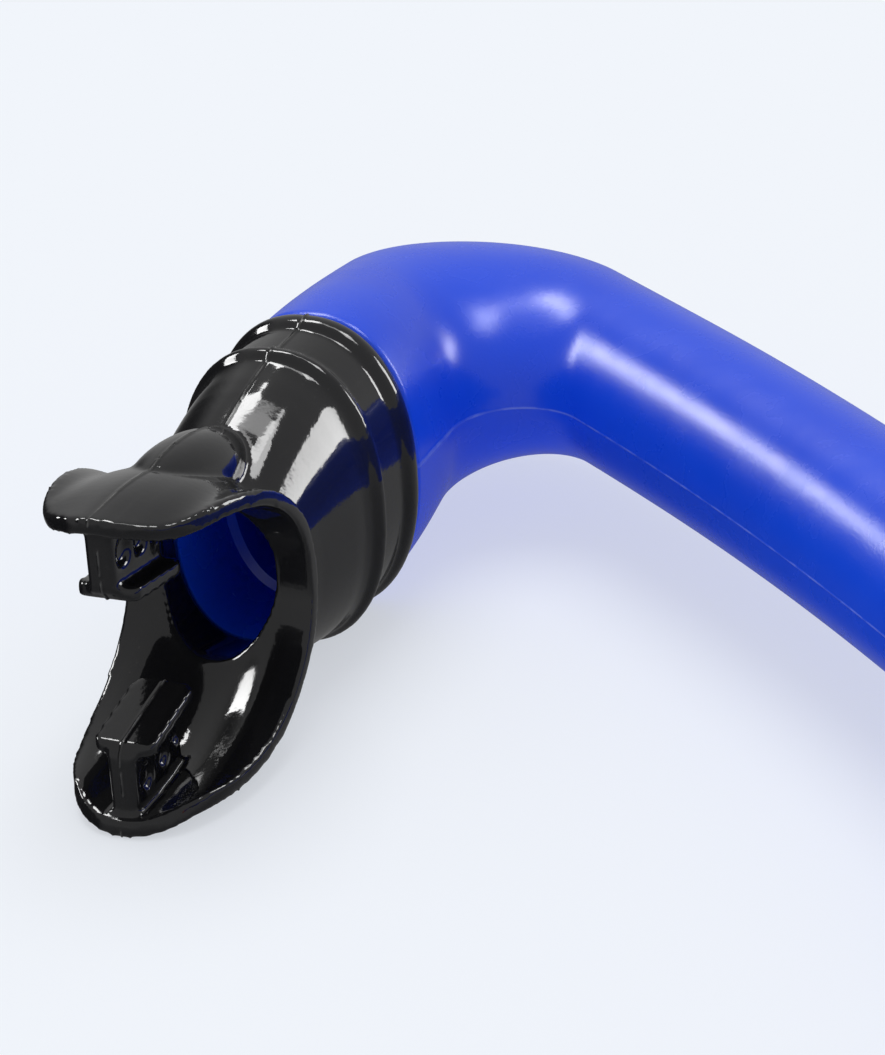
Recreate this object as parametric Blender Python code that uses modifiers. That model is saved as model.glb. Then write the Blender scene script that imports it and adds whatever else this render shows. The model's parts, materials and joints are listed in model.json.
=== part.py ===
"""A J-shaped snorkel: moulded barrel, soft mouthpiece, signal band and a two-piece strap keeper.

Modelled in metres. Local frame: +Z is normal to the plane of the J, the mouthpiece faces -Y,
and the long leg runs to +X. The local origin is the middle of the mouthpiece's rear rim; the
empty "resting_frame" turns and lifts the whole object onto the surface it lies on.
"""

import math

import bmesh
import bpy
from mathutils import Matrix, Vector

MM = 0.001
GAP = 0.3 * MM  # between pieces that touch

# Barrel: a round tube whose short leg widens to an oval spigot.
TUBE_RADIUS = 12.0 * MM
TUBE_WALL = 1.9 * MM
LEG_ANGLE = math.radians(52.5)  # between the two legs
LEG_CURVE_RADIUS = 550.0 * MM
LEG_CURVE_LENGTH = 150.0 * MM
LEG_STRAIGHT_LENGTH = 142.0 * MM
LEG_MERGE = 42.0 * MM  # where the skewed sections of the elbow have become square
OVAL = (13.3 * MM, 19.6 * MM)  # half width in the J plane, half height across it
OVAL_POWER = 2.25
INNER_STRAIGHT = 14.0 * MM
INNER_BEND = 9.0 * MM
OUTER_STRAIGHT = 37.0 * MM
OVAL_BLEND = 58.0 * MM  # along the centre line, from the oval to the round tube
TOP_LIP = 0.5 * MM  # chamfer round the open top

# Spigot: the stepped end that the mouthpiece is stretched over.
SHOULDER = -2.1 * MM
SPIGOT_END = 23.0 * MM
SPIGOT_ROOT_OVAL = (10.9 * MM, 17.2 * MM)
SPIGOT_END_OVAL = (9.6 * MM, 14.5 * MM)
SPIGOT_WALL = 2.0 * MM
GRIP_RINGS = (5.0 * MM, 14.0 * MM)
GRIP_RING_HALF = 1.2 * MM
GRIP_RING_DEPTH = 0.5 * MM

# Mouthpiece: collar with two rim beads, tapering body, lip flange and two bite tabs.
COLLAR_OVAL = (12.9 * MM, 19.3 * MM)
REAR_BEAD = (0.0, 1.8 * MM, 1.0 * MM)  # place, half width, height over the collar
FRONT_BEAD = (10.2 * MM, 1.3 * MM, 0.75 * MM)
# (distance, half width, half height) of the body's sections, in mm
BODY = ((13.5, 12.5, 18.9), (19.0, 12.1, 17.9), (25.0, 11.6, 16.2), (31.0, 11.3, 14.0), (37.0, 11.0, 12.9))
THROAT_BACK_OVAL = (9.0 * MM, 13.8 * MM)
THROAT_FRONT_OVAL = (7.3 * MM, 11.8 * MM)
THROAT_FRONT = 33.0 * MM
FLANGE_THICKNESS = 2.1 * MM
FLANGE_WAIST = 29.4 * MM  # the bow's middle, where it meets the throat
FLANGE_LEVEL = 57.0 * MM  # where the lobes run level
FLANGE_TIP = 62.0 * MM
FLANGE_RISE = 18.2 * MM  # from the centre plane to a lobe's rim
FLANGE_BOW_POWER = 2.15
FLANGE_HALF_WIDTH = 12.5 * MM
FLANGE_TAPER = (30.0 * MM, 3.0, 0.45)  # where the taper to the tip starts, and its two powers
LOBE_ARCH = 1.5 * MM  # how far a lobe's middle stands out over its rims
LOBE_ARCH_RISE = (5.0 * MM, 9.0 * MM)  # the rim height where the arch starts, and the run to full
LOBE_CREST = 0.75  # reach of the arch to each side, as a share of the flange's half width
LOBE_VALLEY = 0.3  # depth beside the arch, as a share of it
LOBE_VALLEY_START = 0.35  # where the valley starts, as a share of the flange's half width
FLANGE_TIP_OPEN = 0.1 * MM  # the rim would close to a point this far past the tip
MOUTH_SPACE_LIFT = 0.1 * MM  # the mouth space's cutter stays this far inside the flange's skin
MOUTH_SPACE_SIDE = 0.15 * MM  # and it reaches this far past the flange's rim on either side
WEB_FRONT = 60.4 * MM
WEB_BACK = 47.6 * MM
WEB_WIDTH = 3.5 * MM
PLATE = (13.0 * MM, 7.9 * MM, 1.8 * MM)  # length, width, thickness
PLATE_FRONT = (59.7 * MM, 9.45 * MM)  # distance, and height of the inner face there
PLATE_TILT = math.radians(9.3)  # the plate's back end lies nearer the centre plane
PLATE_CORNER = 1.3 * MM
PLATE_EDGE = 0.35 * MM
RECESSES = ((57.2, 14.8, 1.75), (52.8, 14.2, 1.6), (49.0, 13.6, 1.3))  # distance, height, radius in mm
RECESS_DEPTH = 0.7 * MM
RIDGE_CENTRE = (36.5 * MM, 14.6 * MM)
RIDGE_HALVES = (5.4 * MM, 13.5 * MM, 5.0 * MM)
RIDGE_LEAN = math.radians(9.0)

# Signal band and keeper on the long leg, placed by distance down from the top rim.
BAND_TOP = 5.0 * MM
BAND_LENGTH = 32.0 * MM
BAND_THICKNESS = 0.9 * MM
KEEPER_DROP = 100.0 * MM  # top rim to the keeper's middle
SLEEVE_LENGTH = 17.0 * MM
SLEEVE_THICKNESS = 1.6 * MM
SLEEVE_FLANGE = (1.9 * MM, 3.4 * MM)  # length, height over the tube
CLIP_THICKNESS = 1.9 * MM
CLIP_SLOT = (27.0 * MM, 5.5 * MM)  # along the tube, outwards
CLIP_BAR = 2.6 * MM
CLIP_DEPTH = 8.0 * MM
CLIP_TURN = math.radians(140.0)  # about the tube, from the inside of the J

# How the object lies: turned from level until three points of it touch the surface.
REST_TURN = (math.radians(-0.452), math.radians(0.501), 0.0)

RING = 36
ARC_STEPS = 12


def clear_scene():
    for obj in list(bpy.data.objects):
        bpy.data.objects.remove(obj, do_unlink=True)


def collection(name):
    made = bpy.data.collections.new(name)
    bpy.context.scene.collection.children.link(made)
    return made


def material(name, colour, roughness, metallic=0.0):
    made = bpy.data.materials.new(name)
    made.use_nodes = True
    shader = made.node_tree.nodes["Principled BSDF"]
    shader.inputs["Base Color"].default_value = (*colour, 1.0)
    shader.inputs["Roughness"].default_value = roughness
    shader.inputs["Metallic"].default_value = metallic
    return made


def mesh_object(name, mesh, home):
    obj = bpy.data.objects.new(name, mesh)
    home.objects.link(obj)
    return obj


def helper(obj):
    obj.hide_render = True
    obj.display_type = "WIRE"
    return obj


def from_bmesh(name, bm, home):
    mesh = bpy.data.meshes.new(name)
    bmesh.ops.recalc_face_normals(bm, faces=bm.faces)
    bm.to_mesh(mesh)
    bm.free()
    return mesh_object(name, mesh, home)


def blend(value):
    """A smooth step from 0 to 1."""
    value = min(max(value, 0.0), 1.0)
    return value * value * (3.0 - 2.0 * value)


def mixed(a, b, share):
    return a + (b - a) * share


def axial(distance):
    """The point of the mouthpiece's axis at this distance in front of its rear rim."""
    return Vector((0.0, -distance, 0.0))


def oval_ring(centre, across, half_across, half_up, power=2.0, count=RING):
    """Points of a superellipse in the plane of across and +Z."""
    points = []
    for step in range(count):
        angle = math.tau * step / count
        cos, sin = math.cos(angle), math.sin(angle)
        reach = math.copysign(abs(cos) ** (2.0 / power), cos) * half_across
        rise = math.copysign(abs(sin) ** (2.0 / power), sin) * half_up
        points.append(centre + across * reach + Vector((0.0, 0.0, rise)))
    return points


def loft(name, rings, home):
    """A closed skin through rings of equal count, capped at both ends."""
    bm = bmesh.new()
    rows = [[bm.verts.new(point) for point in ring] for ring in rings]
    count = len(rows[0])
    for near, far in zip(rows, rows[1:]):
        for i in range(count):
            j = (i + 1) % count
            bm.faces.new((near[i], near[j], far[j], far[i]))
    bm.faces.new(rows[0])
    bm.faces.new(rows[-1])
    return from_bmesh(name, bm, home)


def boolean(obj, other, operation):
    modifier = obj.modifiers.new(other.name, "BOOLEAN")
    modifier.object = other
    modifier.operation = operation
    modifier.solver = "EXACT"


def finish(obj, look, parent):
    obj.data.materials.clear()
    obj.data.materials.append(look)
    obj.parent = parent
    obj.data.shade_smooth()
    obj.data.set_sharp_from_angle(angle=math.radians(40))


# ---- the barrel's centre line -------------------------------------------------------------


def heading(angle):
    """Unit vector in the J plane at this angle from the way the mouthpiece faces."""
    return Vector((math.sin(angle), -math.cos(angle), 0.0))


def inner_side(angle):
    """Unit vector towards the inside of the J, square to the heading."""
    return Vector((-math.cos(angle), -math.sin(angle), 0.0))


LEG_WAY = heading(LEG_ANGLE)
LEG_IN = inner_side(LEG_ANGLE)
BEND_TURN = math.pi - LEG_ANGLE
OUTER_BEND = INNER_BEND + (
    2.0 * TUBE_RADIUS
    + 2.0 * OVAL[0] * math.cos(LEG_ANGLE)
    + (INNER_STRAIGHT - OUTER_STRAIGHT) * math.sin(LEG_ANGLE)
) / (1.0 + math.cos(LEG_ANGLE))


def rail_point(side, straight, radius, share):
    """A point on the J-plane outline: share 0 to 1 is the short leg, 1 to 2 the bend."""
    offset = side * OVAL[0]
    if share <= 1.0:
        return Vector((offset, -mixed(SHOULDER, -straight, share), 0.0))
    turned = (share - 1.0) * BEND_TURN
    return Vector((offset + radius * (1.0 - math.cos(turned)), straight + radius * math.sin(turned), 0.0))


INNER_LEG_START = rail_point(1, INNER_STRAIGHT, INNER_BEND, 2.0)
OUTER_LEG_START = rail_point(-1, OUTER_STRAIGHT, OUTER_BEND, 2.0)
LEG_START = INNER_LEG_START - LEG_IN * TUBE_RADIUS


def leg_frame(distance):
    """(centre, way, inner side) of the long leg at this distance past its start."""
    if distance <= 0.0:
        return LEG_START + LEG_WAY * distance, LEG_WAY, LEG_IN
    turned = min(distance, LEG_CURVE_LENGTH) / LEG_CURVE_RADIUS
    centre = LEG_START + LEG_CURVE_RADIUS * (inner_side(LEG_ANGLE) - inner_side(LEG_ANGLE - turned))
    way = heading(LEG_ANGLE - turned)
    return centre + way * max(distance - LEG_CURVE_LENGTH, 0.0), way, inner_side(LEG_ANGLE - turned)


LEG_LENGTH = LEG_CURVE_LENGTH + LEG_STRAIGHT_LENGTH


def barrel_stations():
    """(inner outline point, outer outline point) pairs from the shoulder to the top rim."""
    pairs = []
    for step in range(6):
        share = step / 6.0
        pairs.append((share, share))
    for step in range(ARC_STEPS + 1):
        share = 1.0 + step / ARC_STEPS
        pairs.append((share, share))
    stations = [
        (
            rail_point(1, INNER_STRAIGHT, INNER_BEND, a),
            rail_point(-1, OUTER_STRAIGHT, OUTER_BEND, b),
        )
        for a, b in pairs
    ]
    behind = (OUTER_LEG_START - INNER_LEG_START).dot(LEG_WAY)
    for step in range(1, 7):
        share = step / 6.0
        inner, _, inner_in = leg_frame(LEG_MERGE * share)
        outer, _, outer_in = leg_frame(mixed(behind, LEG_MERGE, share))
        stations.append((inner + inner_in * TUBE_RADIUS, outer - outer_in * TUBE_RADIUS))
    curve_steps = 7
    distances = [
        mixed(LEG_MERGE, LEG_CURVE_LENGTH, step / curve_steps) for step in range(1, curve_steps + 1)
    ]
    for distance in distances + [LEG_LENGTH]:
        centre, _, inside = leg_frame(distance)
        stations.append((centre + inside * TUBE_RADIUS, centre - inside * TUBE_RADIUS))
    return stations


def barrel_rings(inset):
    """Section rings of the barrel from the shoulder to the top rim, inset from its outer skin."""
    stations = barrel_stations()
    centres = [(inner + outer) / 2.0 for inner, outer in stations]
    rings = []
    travelled = 0.0
    for i, (inner, outer) in enumerate(stations):
        if i:
            travelled += (centres[i] - centres[i - 1]).length
        across = (inner - outer).normalized()
        way = (centres[min(i + 1, len(centres) - 1)] - centres[max(i - 1, 0)]).normalized()
        squareness = max(across.cross(way).length, 0.5)
        share = blend(travelled / OVAL_BLEND)
        half_across = (inner - outer).length / 2.0 - inset / squareness
        half_up = mixed(OVAL[1], TUBE_RADIUS, share) - inset
        rings.append(
            oval_ring(centres[i], across, half_across, half_up, mixed(OVAL_POWER, 2.0, share))
        )
    return rings


def spigot_oval(distance, inset=0.0):
    share = (distance - SHOULDER) / (SPIGOT_END - SHOULDER)
    return tuple(mixed(a, b, share) - inset for a, b in zip(SPIGOT_ROOT_OVAL, SPIGOT_END_OVAL))


def mouth_ring(distance, oval):
    return oval_ring(axial(distance), Vector((1.0, 0.0, 0.0)), *oval, OVAL_POWER)


def barrel(home, cutters):
    """The tube: spigot, oval short leg, elbow and long leg, hollow from end to end."""
    spigot = [(SPIGOT_END, 0.6 * MM), (SPIGOT_END - 0.6 * MM, 0.0)]
    for middle in reversed(GRIP_RINGS):
        spigot += [
            (middle + GRIP_RING_HALF, 0.0),
            (middle + GRIP_RING_HALF - GRIP_RING_DEPTH, GRIP_RING_DEPTH),
            (middle - GRIP_RING_HALF + GRIP_RING_DEPTH, GRIP_RING_DEPTH),
            (middle - GRIP_RING_HALF, 0.0),
        ]
    spigot.append((SHOULDER, 0.0))
    outside = [mouth_ring(place, spigot_oval(place, inset)) for place, inset in spigot]
    outside += barrel_rings(0.0)
    up = leg_frame(LEG_LENGTH)[1]
    outside[-1] = [point - up * TOP_LIP for point in outside[-1]]
    outside.append(barrel_rings(TOP_LIP)[-1])
    over = 2.0 * MM
    bore = [
        mouth_ring(place, spigot_oval(place, SPIGOT_WALL))
        for place in (SPIGOT_END + over, SHOULDER - over)
    ]
    inside = barrel_rings(TUBE_WALL)
    top = inside[-1]
    bore += inside[1:] + [[point + up * over for point in top]]
    body = loft("barrel", outside, home)
    boolean(body, helper(loft("barrel_bore", bore, cutters)), "DIFFERENCE")
    return body


# ---- the mouthpiece -----------------------------------------------------------------------


def bead_profile(bead, steps=6):
    """(place, rise) along a rounded rim bead, back to front."""
    place, half_width, height = bead
    profile = []
    for step in range(steps + 1):
        angle = math.pi * step / steps
        profile.append((place - half_width * math.cos(angle), height * math.sin(angle)))
    return profile


def mouthpiece_body(home):
    rings = []
    for bead in (REAR_BEAD, FRONT_BEAD):
        for place, rise in bead_profile(bead):
            rings.append(mouth_ring(place, tuple(half + rise for half in COLLAR_OVAL)))
    for place, half_across, half_up in BODY:
        rings.append(mouth_ring(place * MM, (half_across * MM, half_up * MM)))
    return loft("mouthpiece", rings, home)


def throat_cutter(cutters):
    """The collar's socket, with its stop, and the oval throat to the lip flange."""
    places = (REAR_BEAD[0] - REAR_BEAD[1] - 2.0 * MM, SPIGOT_END + GAP)
    rings = [mouth_ring(place, spigot_oval(place, -GAP)) for place in places]
    rings.append(mouth_ring(SPIGOT_END + GAP, THROAT_BACK_OVAL))
    rings.append(mouth_ring(THROAT_FRONT, THROAT_FRONT_OVAL))
    rings.append(mouth_ring(THROAT_FRONT + 4.0 * MM, THROAT_FRONT_OVAL))
    return helper(loft("throat", rings, cutters))


def flange_line():
    """(distance, height, outward normal) down the flange's middle, from the bow to a lobe's tip."""
    line = []
    steps = 12
    for step in range(steps + 1):
        angle = math.pi / 2.0 * step / steps
        reach = (FLANGE_LEVEL - FLANGE_WAIST) * math.cos(angle) ** (2.0 / FLANGE_BOW_POWER)
        line.append((FLANGE_LEVEL - reach, FLANGE_RISE * math.sin(angle) ** (2.0 / FLANGE_BOW_POWER)))
    for share in (0.3, 0.55, 0.75, 0.9, 0.97, 1.0):
        line.append((mixed(FLANGE_LEVEL, FLANGE_TIP, share), FLANGE_RISE))
    made = []
    for index, (distance, height) in enumerate(line):
        before, after = line[max(index - 1, 0)], line[min(index + 1, len(line) - 1)]
        run, rise = after[0] - before[0], after[1] - before[1]
        if index == 0:
            run = 0.0
        length = math.hypot(run, rise)
        made.append((distance, height, Vector((0.0, rise / length, run / length))))
    return made


def flange_half_width(distance):
    """Half width of the lip flange, from the bow to the round end of a lobe."""
    start, power, root = FLANGE_TAPER
    past = max(distance - start, 0.0) / (FLANGE_TIP + FLANGE_TIP_OPEN - start)
    return FLANGE_HALF_WIDTH * (1.0 - past**power) ** root


def lobe_profile(share):
    """How far a lobe stands out at this share of the flange's half width: 1 along its middle."""
    share = min(abs(share), 1.0)
    past_crest = min(max((share - LOBE_VALLEY_START) / (1.0 - LOBE_VALLEY_START), 0.0), 1.0)
    valley = math.sin(math.pi * past_crest) ** 2
    return 1.0 - blend(share / LOBE_CREST) - LOBE_VALLEY * valley


def flange_rows(lift, margin=0.0):
    """Points across the flange, row by row from one tip round the bow to the other.

    lift moves them outwards from the middle surface, and margin adds a straight column past each
    rim, this far outside the widest place.
    """
    half = flange_line()
    line = [(d, -h, Vector((0.0, n.y, -n.z))) for d, h, n in reversed(half[1:])] + half
    shares = [-1.0 + step / 6.0 for step in range(13)]
    rows = []
    for distance, height, normal in line:
        width = flange_half_width(distance)
        start, run = LOBE_ARCH_RISE
        arch = LOBE_ARCH * blend((abs(height) - start) / run)
        if margin:
            width += MOUTH_SPACE_SIDE
        across = [share * width for share in shares]
        columns = [(t, arch * lobe_profile(t / FLANGE_HALF_WIDTH)) for t in across]
        if margin:
            edge = FLANGE_HALF_WIDTH + margin
            columns = [(-edge, 0.0)] + columns + [(edge, 0.0)]
        rows.append(
            [Vector((t, -distance, height)) + normal * (rise + lift) for t, rise in columns]
        )
    return rows


def flange(cutters):
    """The bowed lip flange as a sheet through both lobes, given its thickness by Solidify."""
    bm = bmesh.new()
    rows = [[bm.verts.new(point) for point in row] for row in flange_rows(0.0)]
    for near, far in zip(rows, rows[1:]):
        for i in range(len(near) - 1):
            bm.faces.new((near[i], near[i + 1], far[i + 1], far[i]))
    sheet = from_bmesh("lip_flange", bm, cutters)
    thick = sheet.modifiers.new("thickness", "SOLIDIFY")
    thick.thickness = FLANGE_THICKNESS
    thick.offset = 0.0
    return helper(sheet)


def mouth_space_cutter(cutters):
    """The room between the lobes, which trims the ridges and body off the flange's inner face."""
    ahead = FLANGE_TIP + 8.0 * MM
    bm = bmesh.new()
    slices = []
    for column in zip(*flange_rows(MOUTH_SPACE_LIFT - FLANGE_THICKNESS / 2.0, 4.0 * MM)):
        low, high = column[0], column[-1]
        outline = list(column) + [Vector((high.x, -ahead, high.z)), Vector((low.x, -ahead, low.z))]
        slices.append([bm.verts.new(point) for point in outline])
    for left, right in zip(slices, slices[1:]):
        for i in range(len(left)):
            j = (i + 1) % len(left)
            bm.faces.new((left[i], left[j], right[j], right[i]))
    bm.faces.new(slices[0])
    bm.faces.new(slices[-1])
    return helper(from_bmesh("mouth_space", bm, cutters))


def box(name, low, high, home, round_by=0.0):
    bm = bmesh.new()
    bmesh.ops.create_cube(bm, size=1.0)
    middle = (Vector(low) + Vector(high)) / 2.0
    sides = Vector(high) - Vector(low)
    bm.transform(Matrix.Translation(middle) @ Matrix.Diagonal((*sides, 1.0)))
    made = from_bmesh(name, bm, home)
    if round_by:
        rounding = made.modifiers.new("rounding", "BEVEL")
        rounding.width = round_by
        rounding.segments = 2
    return made


def prism(name, outline, way, home):
    """A solid between this outline and a copy of it moved by way."""
    bm = bmesh.new()
    near = [bm.verts.new(point) for point in outline]
    far = [bm.verts.new(point + way) for point in outline]
    bm.faces.new(near)
    bm.faces.new(far)
    for i in range(len(near)):
        j = (i + 1) % len(near)
        bm.faces.new((near[i], near[j], far[j], far[i]))
    return from_bmesh(name, bm, home)


def bite_plate(side, cutters):
    """The plate that the teeth hold behind, with rounded corners, tilted like the lobe."""
    length, width, thickness = PLATE
    outline = []
    for corner in range(4):
        turn = math.pi / 2.0 * corner
        across = (width / 2.0 - PLATE_CORNER) * (1.0 if corner in (0, 3) else -1.0)
        along = (length - PLATE_CORNER) if corner in (0, 1) else PLATE_CORNER
        for step in range(4):
            angle = turn + math.pi / 2.0 * step / 3.0
            outline.append(
                Vector(
                    (across + PLATE_CORNER * math.cos(angle), along + PLATE_CORNER * math.sin(angle), 0.0)
                )
            )
    made = prism(f"plate_{side}", outline, Vector((0.0, 0.0, side * thickness)), cutters)
    distance, height = PLATE_FRONT
    turn = Matrix.Rotation(-side * PLATE_TILT, 4, "X")
    made.data.transform(Matrix.Translation((0.0, -distance, side * height)) @ turn)
    rounding = made.modifiers.new("rounding", "BEVEL")
    rounding.width = PLATE_EDGE
    rounding.segments = 2
    return helper(made)


def bite_web(side, cutters):
    """The web that carries a plate, from the lobe's inner face to the middle of the plate."""
    distance, height = PLATE_FRONT
    middle = height + PLATE[2] / 2.0
    lean = math.tan(PLATE_TILT)
    outline = [
        Vector((-WEB_WIDTH / 2.0, -place, side * level))
        for place, level in (
            (WEB_FRONT, FLANGE_RISE + LOBE_ARCH / 2.0),
            (WEB_FRONT, middle + (WEB_FRONT - distance) * lean),
            (WEB_BACK, middle - (distance - WEB_BACK) * lean),
            (WEB_BACK, FLANGE_RISE),
        )
    ]
    made = prism(f"web_{side}", outline, Vector((WEB_WIDTH, 0.0, 0.0)), cutters)
    return helper(made)


def web_recesses(side, cutters):
    """Round grip recesses in both faces of a tab's web."""
    made = []
    turn = Matrix.Rotation(math.pi / 2.0, 4, "Y")
    for face in (-1, 1):
        for index, (distance, height, radius) in enumerate(RECESSES):
            bm = bmesh.new()
            size = radius * MM
            bmesh.ops.create_cone(
                bm, cap_ends=True, segments=14, radius1=size, radius2=size, depth=2.0 * RECESS_DEPTH
            )
            place = Matrix.Translation((face * WEB_WIDTH / 2.0, -distance * MM, side * height * MM))
            bm.transform(place @ turn)
            made.append(helper(from_bmesh(f"recess_{side}_{face}_{index}", bm, cutters)))
    return made


def lobe_ridge(side, cutters):
    """The rounded rib that stiffens the back of a lobe against the body."""
    bm = bmesh.new()
    bmesh.ops.create_uvsphere(bm, u_segments=20, v_segments=12, radius=1.0)
    lean = Matrix.Rotation(-side * RIDGE_LEAN, 4, "X")
    place = Matrix.Translation((0.0, -RIDGE_CENTRE[0], side * RIDGE_CENTRE[1]))
    bm.transform(place @ lean @ Matrix.Diagonal((*RIDGE_HALVES, 1.0)))
    return helper(from_bmesh(f"lobe_ridge_{side}", bm, cutters))


def mouthpiece(home, cutters):
    """One soft moulding: collar, body, lip flange, ridges and bite tabs."""
    body = mouthpiece_body(home)
    for side in (1, -1):
        boolean(body, lobe_ridge(side, cutters), "UNION")
    boolean(body, mouth_space_cutter(cutters), "DIFFERENCE")
    boolean(body, flange(cutters), "UNION")
    boolean(body, throat_cutter(cutters), "DIFFERENCE")
    for side in (1, -1):
        boolean(body, bite_web(side, cutters), "UNION")
        boolean(body, bite_plate(side, cutters), "UNION")
        for recess in web_recesses(side, cutters):
            boolean(body, recess, "DIFFERENCE")
    return body


# ---- signal band and keeper ----------------------------------------------------------------


def turned(name, profile, home, drop, segments=48):
    """A ring turned about the long leg: profile is (radius, distance up the tube) points."""
    mesh = bpy.data.meshes.new(name)
    points = [(radius, 0.0, up) for radius, up in profile]
    edges = [(i, (i + 1) % len(points)) for i in range(len(points))]
    mesh.from_pydata(points, edges, [])
    made = mesh_object(name, mesh, home)
    spin = made.modifiers.new("turn", "SCREW")
    spin.steps = spin.render_steps = segments
    spin.use_merge_vertices = True
    spin.merge_threshold = 0.00001
    made.matrix_basis = leg_matrix(drop)
    return made


def leg_matrix(drop):
    """Placement on the long leg, this far below the top rim: Z up the tube, X to the J's inside."""
    centre, way, inside = leg_frame(LEG_LENGTH - drop)
    side = way.cross(inside)
    turn = Matrix((inside, side, way)).transposed().to_4x4()
    return Matrix.Translation(centre) @ turn


def signal_band(home):
    """The bright sleeve that makes the top of the snorkel easy to see in the water."""
    low, high = TUBE_RADIUS + GAP, TUBE_RADIUS + GAP + BAND_THICKNESS
    half, edge = BAND_LENGTH / 2.0, 0.4 * MM
    profile = [
        (high - edge, half),
        (high, half - edge),
        (high, -half + edge),
        (high - edge, -half),
        (low, -half),
        (low, half),
    ]
    return turned("signal_band", profile, home, BAND_TOP + half)


def keeper_sleeve(home):
    """The spool that grips the tube and holds the clip between its two flanges."""
    low, hub = TUBE_RADIUS + GAP, TUBE_RADIUS + GAP + SLEEVE_THICKNESS
    rim = TUBE_RADIUS + SLEEVE_FLANGE[1]
    half, neck, edge = SLEEVE_LENGTH / 2.0, SLEEVE_LENGTH / 2.0 - SLEEVE_FLANGE[0], 0.4 * MM
    profile = [
        (rim - edge, half),
        (rim, half - edge),
        (rim, neck),
        (hub, neck),
        (hub, -neck),
        (rim, -neck),
        (rim, -half + edge),
        (rim - edge, -half),
        (low, -half),
        (low, half),
    ]
    return turned("keeper_sleeve", profile, home, KEEPER_DROP)


def strap_clip(home, cutters):
    """The ring that turns on the sleeve, with the closed loop the mask strap passes through."""
    low = TUBE_RADIUS + GAP + SLEEVE_THICKNESS + GAP
    high = low + CLIP_THICKNESS
    half, edge = SLEEVE_LENGTH / 2.0 - SLEEVE_FLANGE[0] - GAP, 0.4 * MM
    profile = [
        (high - edge, half),
        (high, half - edge),
        (high, -half + edge),
        (high - edge, -half),
        (low, -half),
        (low, half),
    ]
    clip = turned("strap_clip", profile, home, KEEPER_DROP)
    reach = high - 0.6 * MM
    frame = box(
        "clip_frame",
        (reach, -CLIP_DEPTH / 2.0, -CLIP_SLOT[0] / 2.0 - CLIP_BAR),
        (reach + CLIP_SLOT[1] + 2.0 * CLIP_BAR, CLIP_DEPTH / 2.0, CLIP_SLOT[0] / 2.0 + CLIP_BAR),
        cutters,
        1.0 * MM,
    )
    slot = box(
        "clip_slot",
        (reach + CLIP_BAR, -CLIP_DEPTH, -CLIP_SLOT[0] / 2.0),
        (reach + CLIP_BAR + CLIP_SLOT[1], CLIP_DEPTH, CLIP_SLOT[0] / 2.0),
        cutters,
    )
    for piece in (frame, slot):
        piece.matrix_basis = leg_matrix(KEEPER_DROP) @ Matrix.Rotation(CLIP_TURN, 4, "Z")
        helper(piece)
    boolean(clip, frame, "UNION")
    boolean(clip, slot, "DIFFERENCE")
    return clip


def stand_on_surface(rest, objects):
    """Moves the resting frame so that the object's base is centred on the origin."""
    bpy.context.view_layer.update()
    graph = bpy.context.evaluated_depsgraph_get()
    points = []
    for obj in objects:
        evaluated = obj.evaluated_get(graph)
        points += [evaluated.matrix_world @ vertex.co for vertex in evaluated.data.vertices]
    low = [min(point[axis] for point in points) for axis in range(3)]
    high = [max(point[axis] for point in points) for axis in range(3)]
    rest.location -= Vector(((low[0] + high[0]) / 2.0, (low[1] + high[1]) / 2.0, low[2]))


def main():
    clear_scene()
    home = collection("snorkel")
    cutters = collection("cutters")
    rest = bpy.data.objects.new("resting_frame", None)
    rest.rotation_euler = REST_TURN
    home.objects.link(rest)
    blue = material("barrel_blue", (0.012, 0.045, 0.55), 0.33)
    black = material("mouthpiece_black", (0.01, 0.01, 0.011), 0.22)
    orange = material("signal_orange", (0.9, 0.12, 0.02), 0.5)
    grey = material("keeper_black", (0.015, 0.015, 0.017), 0.4)
    looks = (
        (barrel(home, cutters), blue),
        (mouthpiece(home, cutters), black),
        (signal_band(home), orange),
        (keeper_sleeve(home), grey),
        (strap_clip(home, cutters), grey),
    )
    for obj, look in looks:
        finish(obj, look, rest)
    for obj in cutters.objects:
        obj.parent = rest
    stand_on_surface(rest, [obj for obj, _ in looks])


main()
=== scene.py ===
"""Studio scene of a J-shaped snorkel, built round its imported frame.

The CAD nodes give every place and every joint. Each visible piece is modelled here at a finer
scale, dressed in a procedural finish, and rides on the body of the node that it stands for.
Lengths are metres. Shapes are modelled in the snorkel's own frame: +X runs from the short leg
to the long one, -Y is the way the mouthpiece faces, +Z is square to the plane of the J, and the
origin is the middle of the mouthpiece's rear rim. "Distance" is measured along -Y from there.
"""

from __future__ import annotations

import json
import logging
import math
from dataclasses import dataclass
from enum import Enum
from typing import Any, Callable, Iterable, Sequence

import bmesh
import bpy
from mathutils import Matrix, Vector

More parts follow.
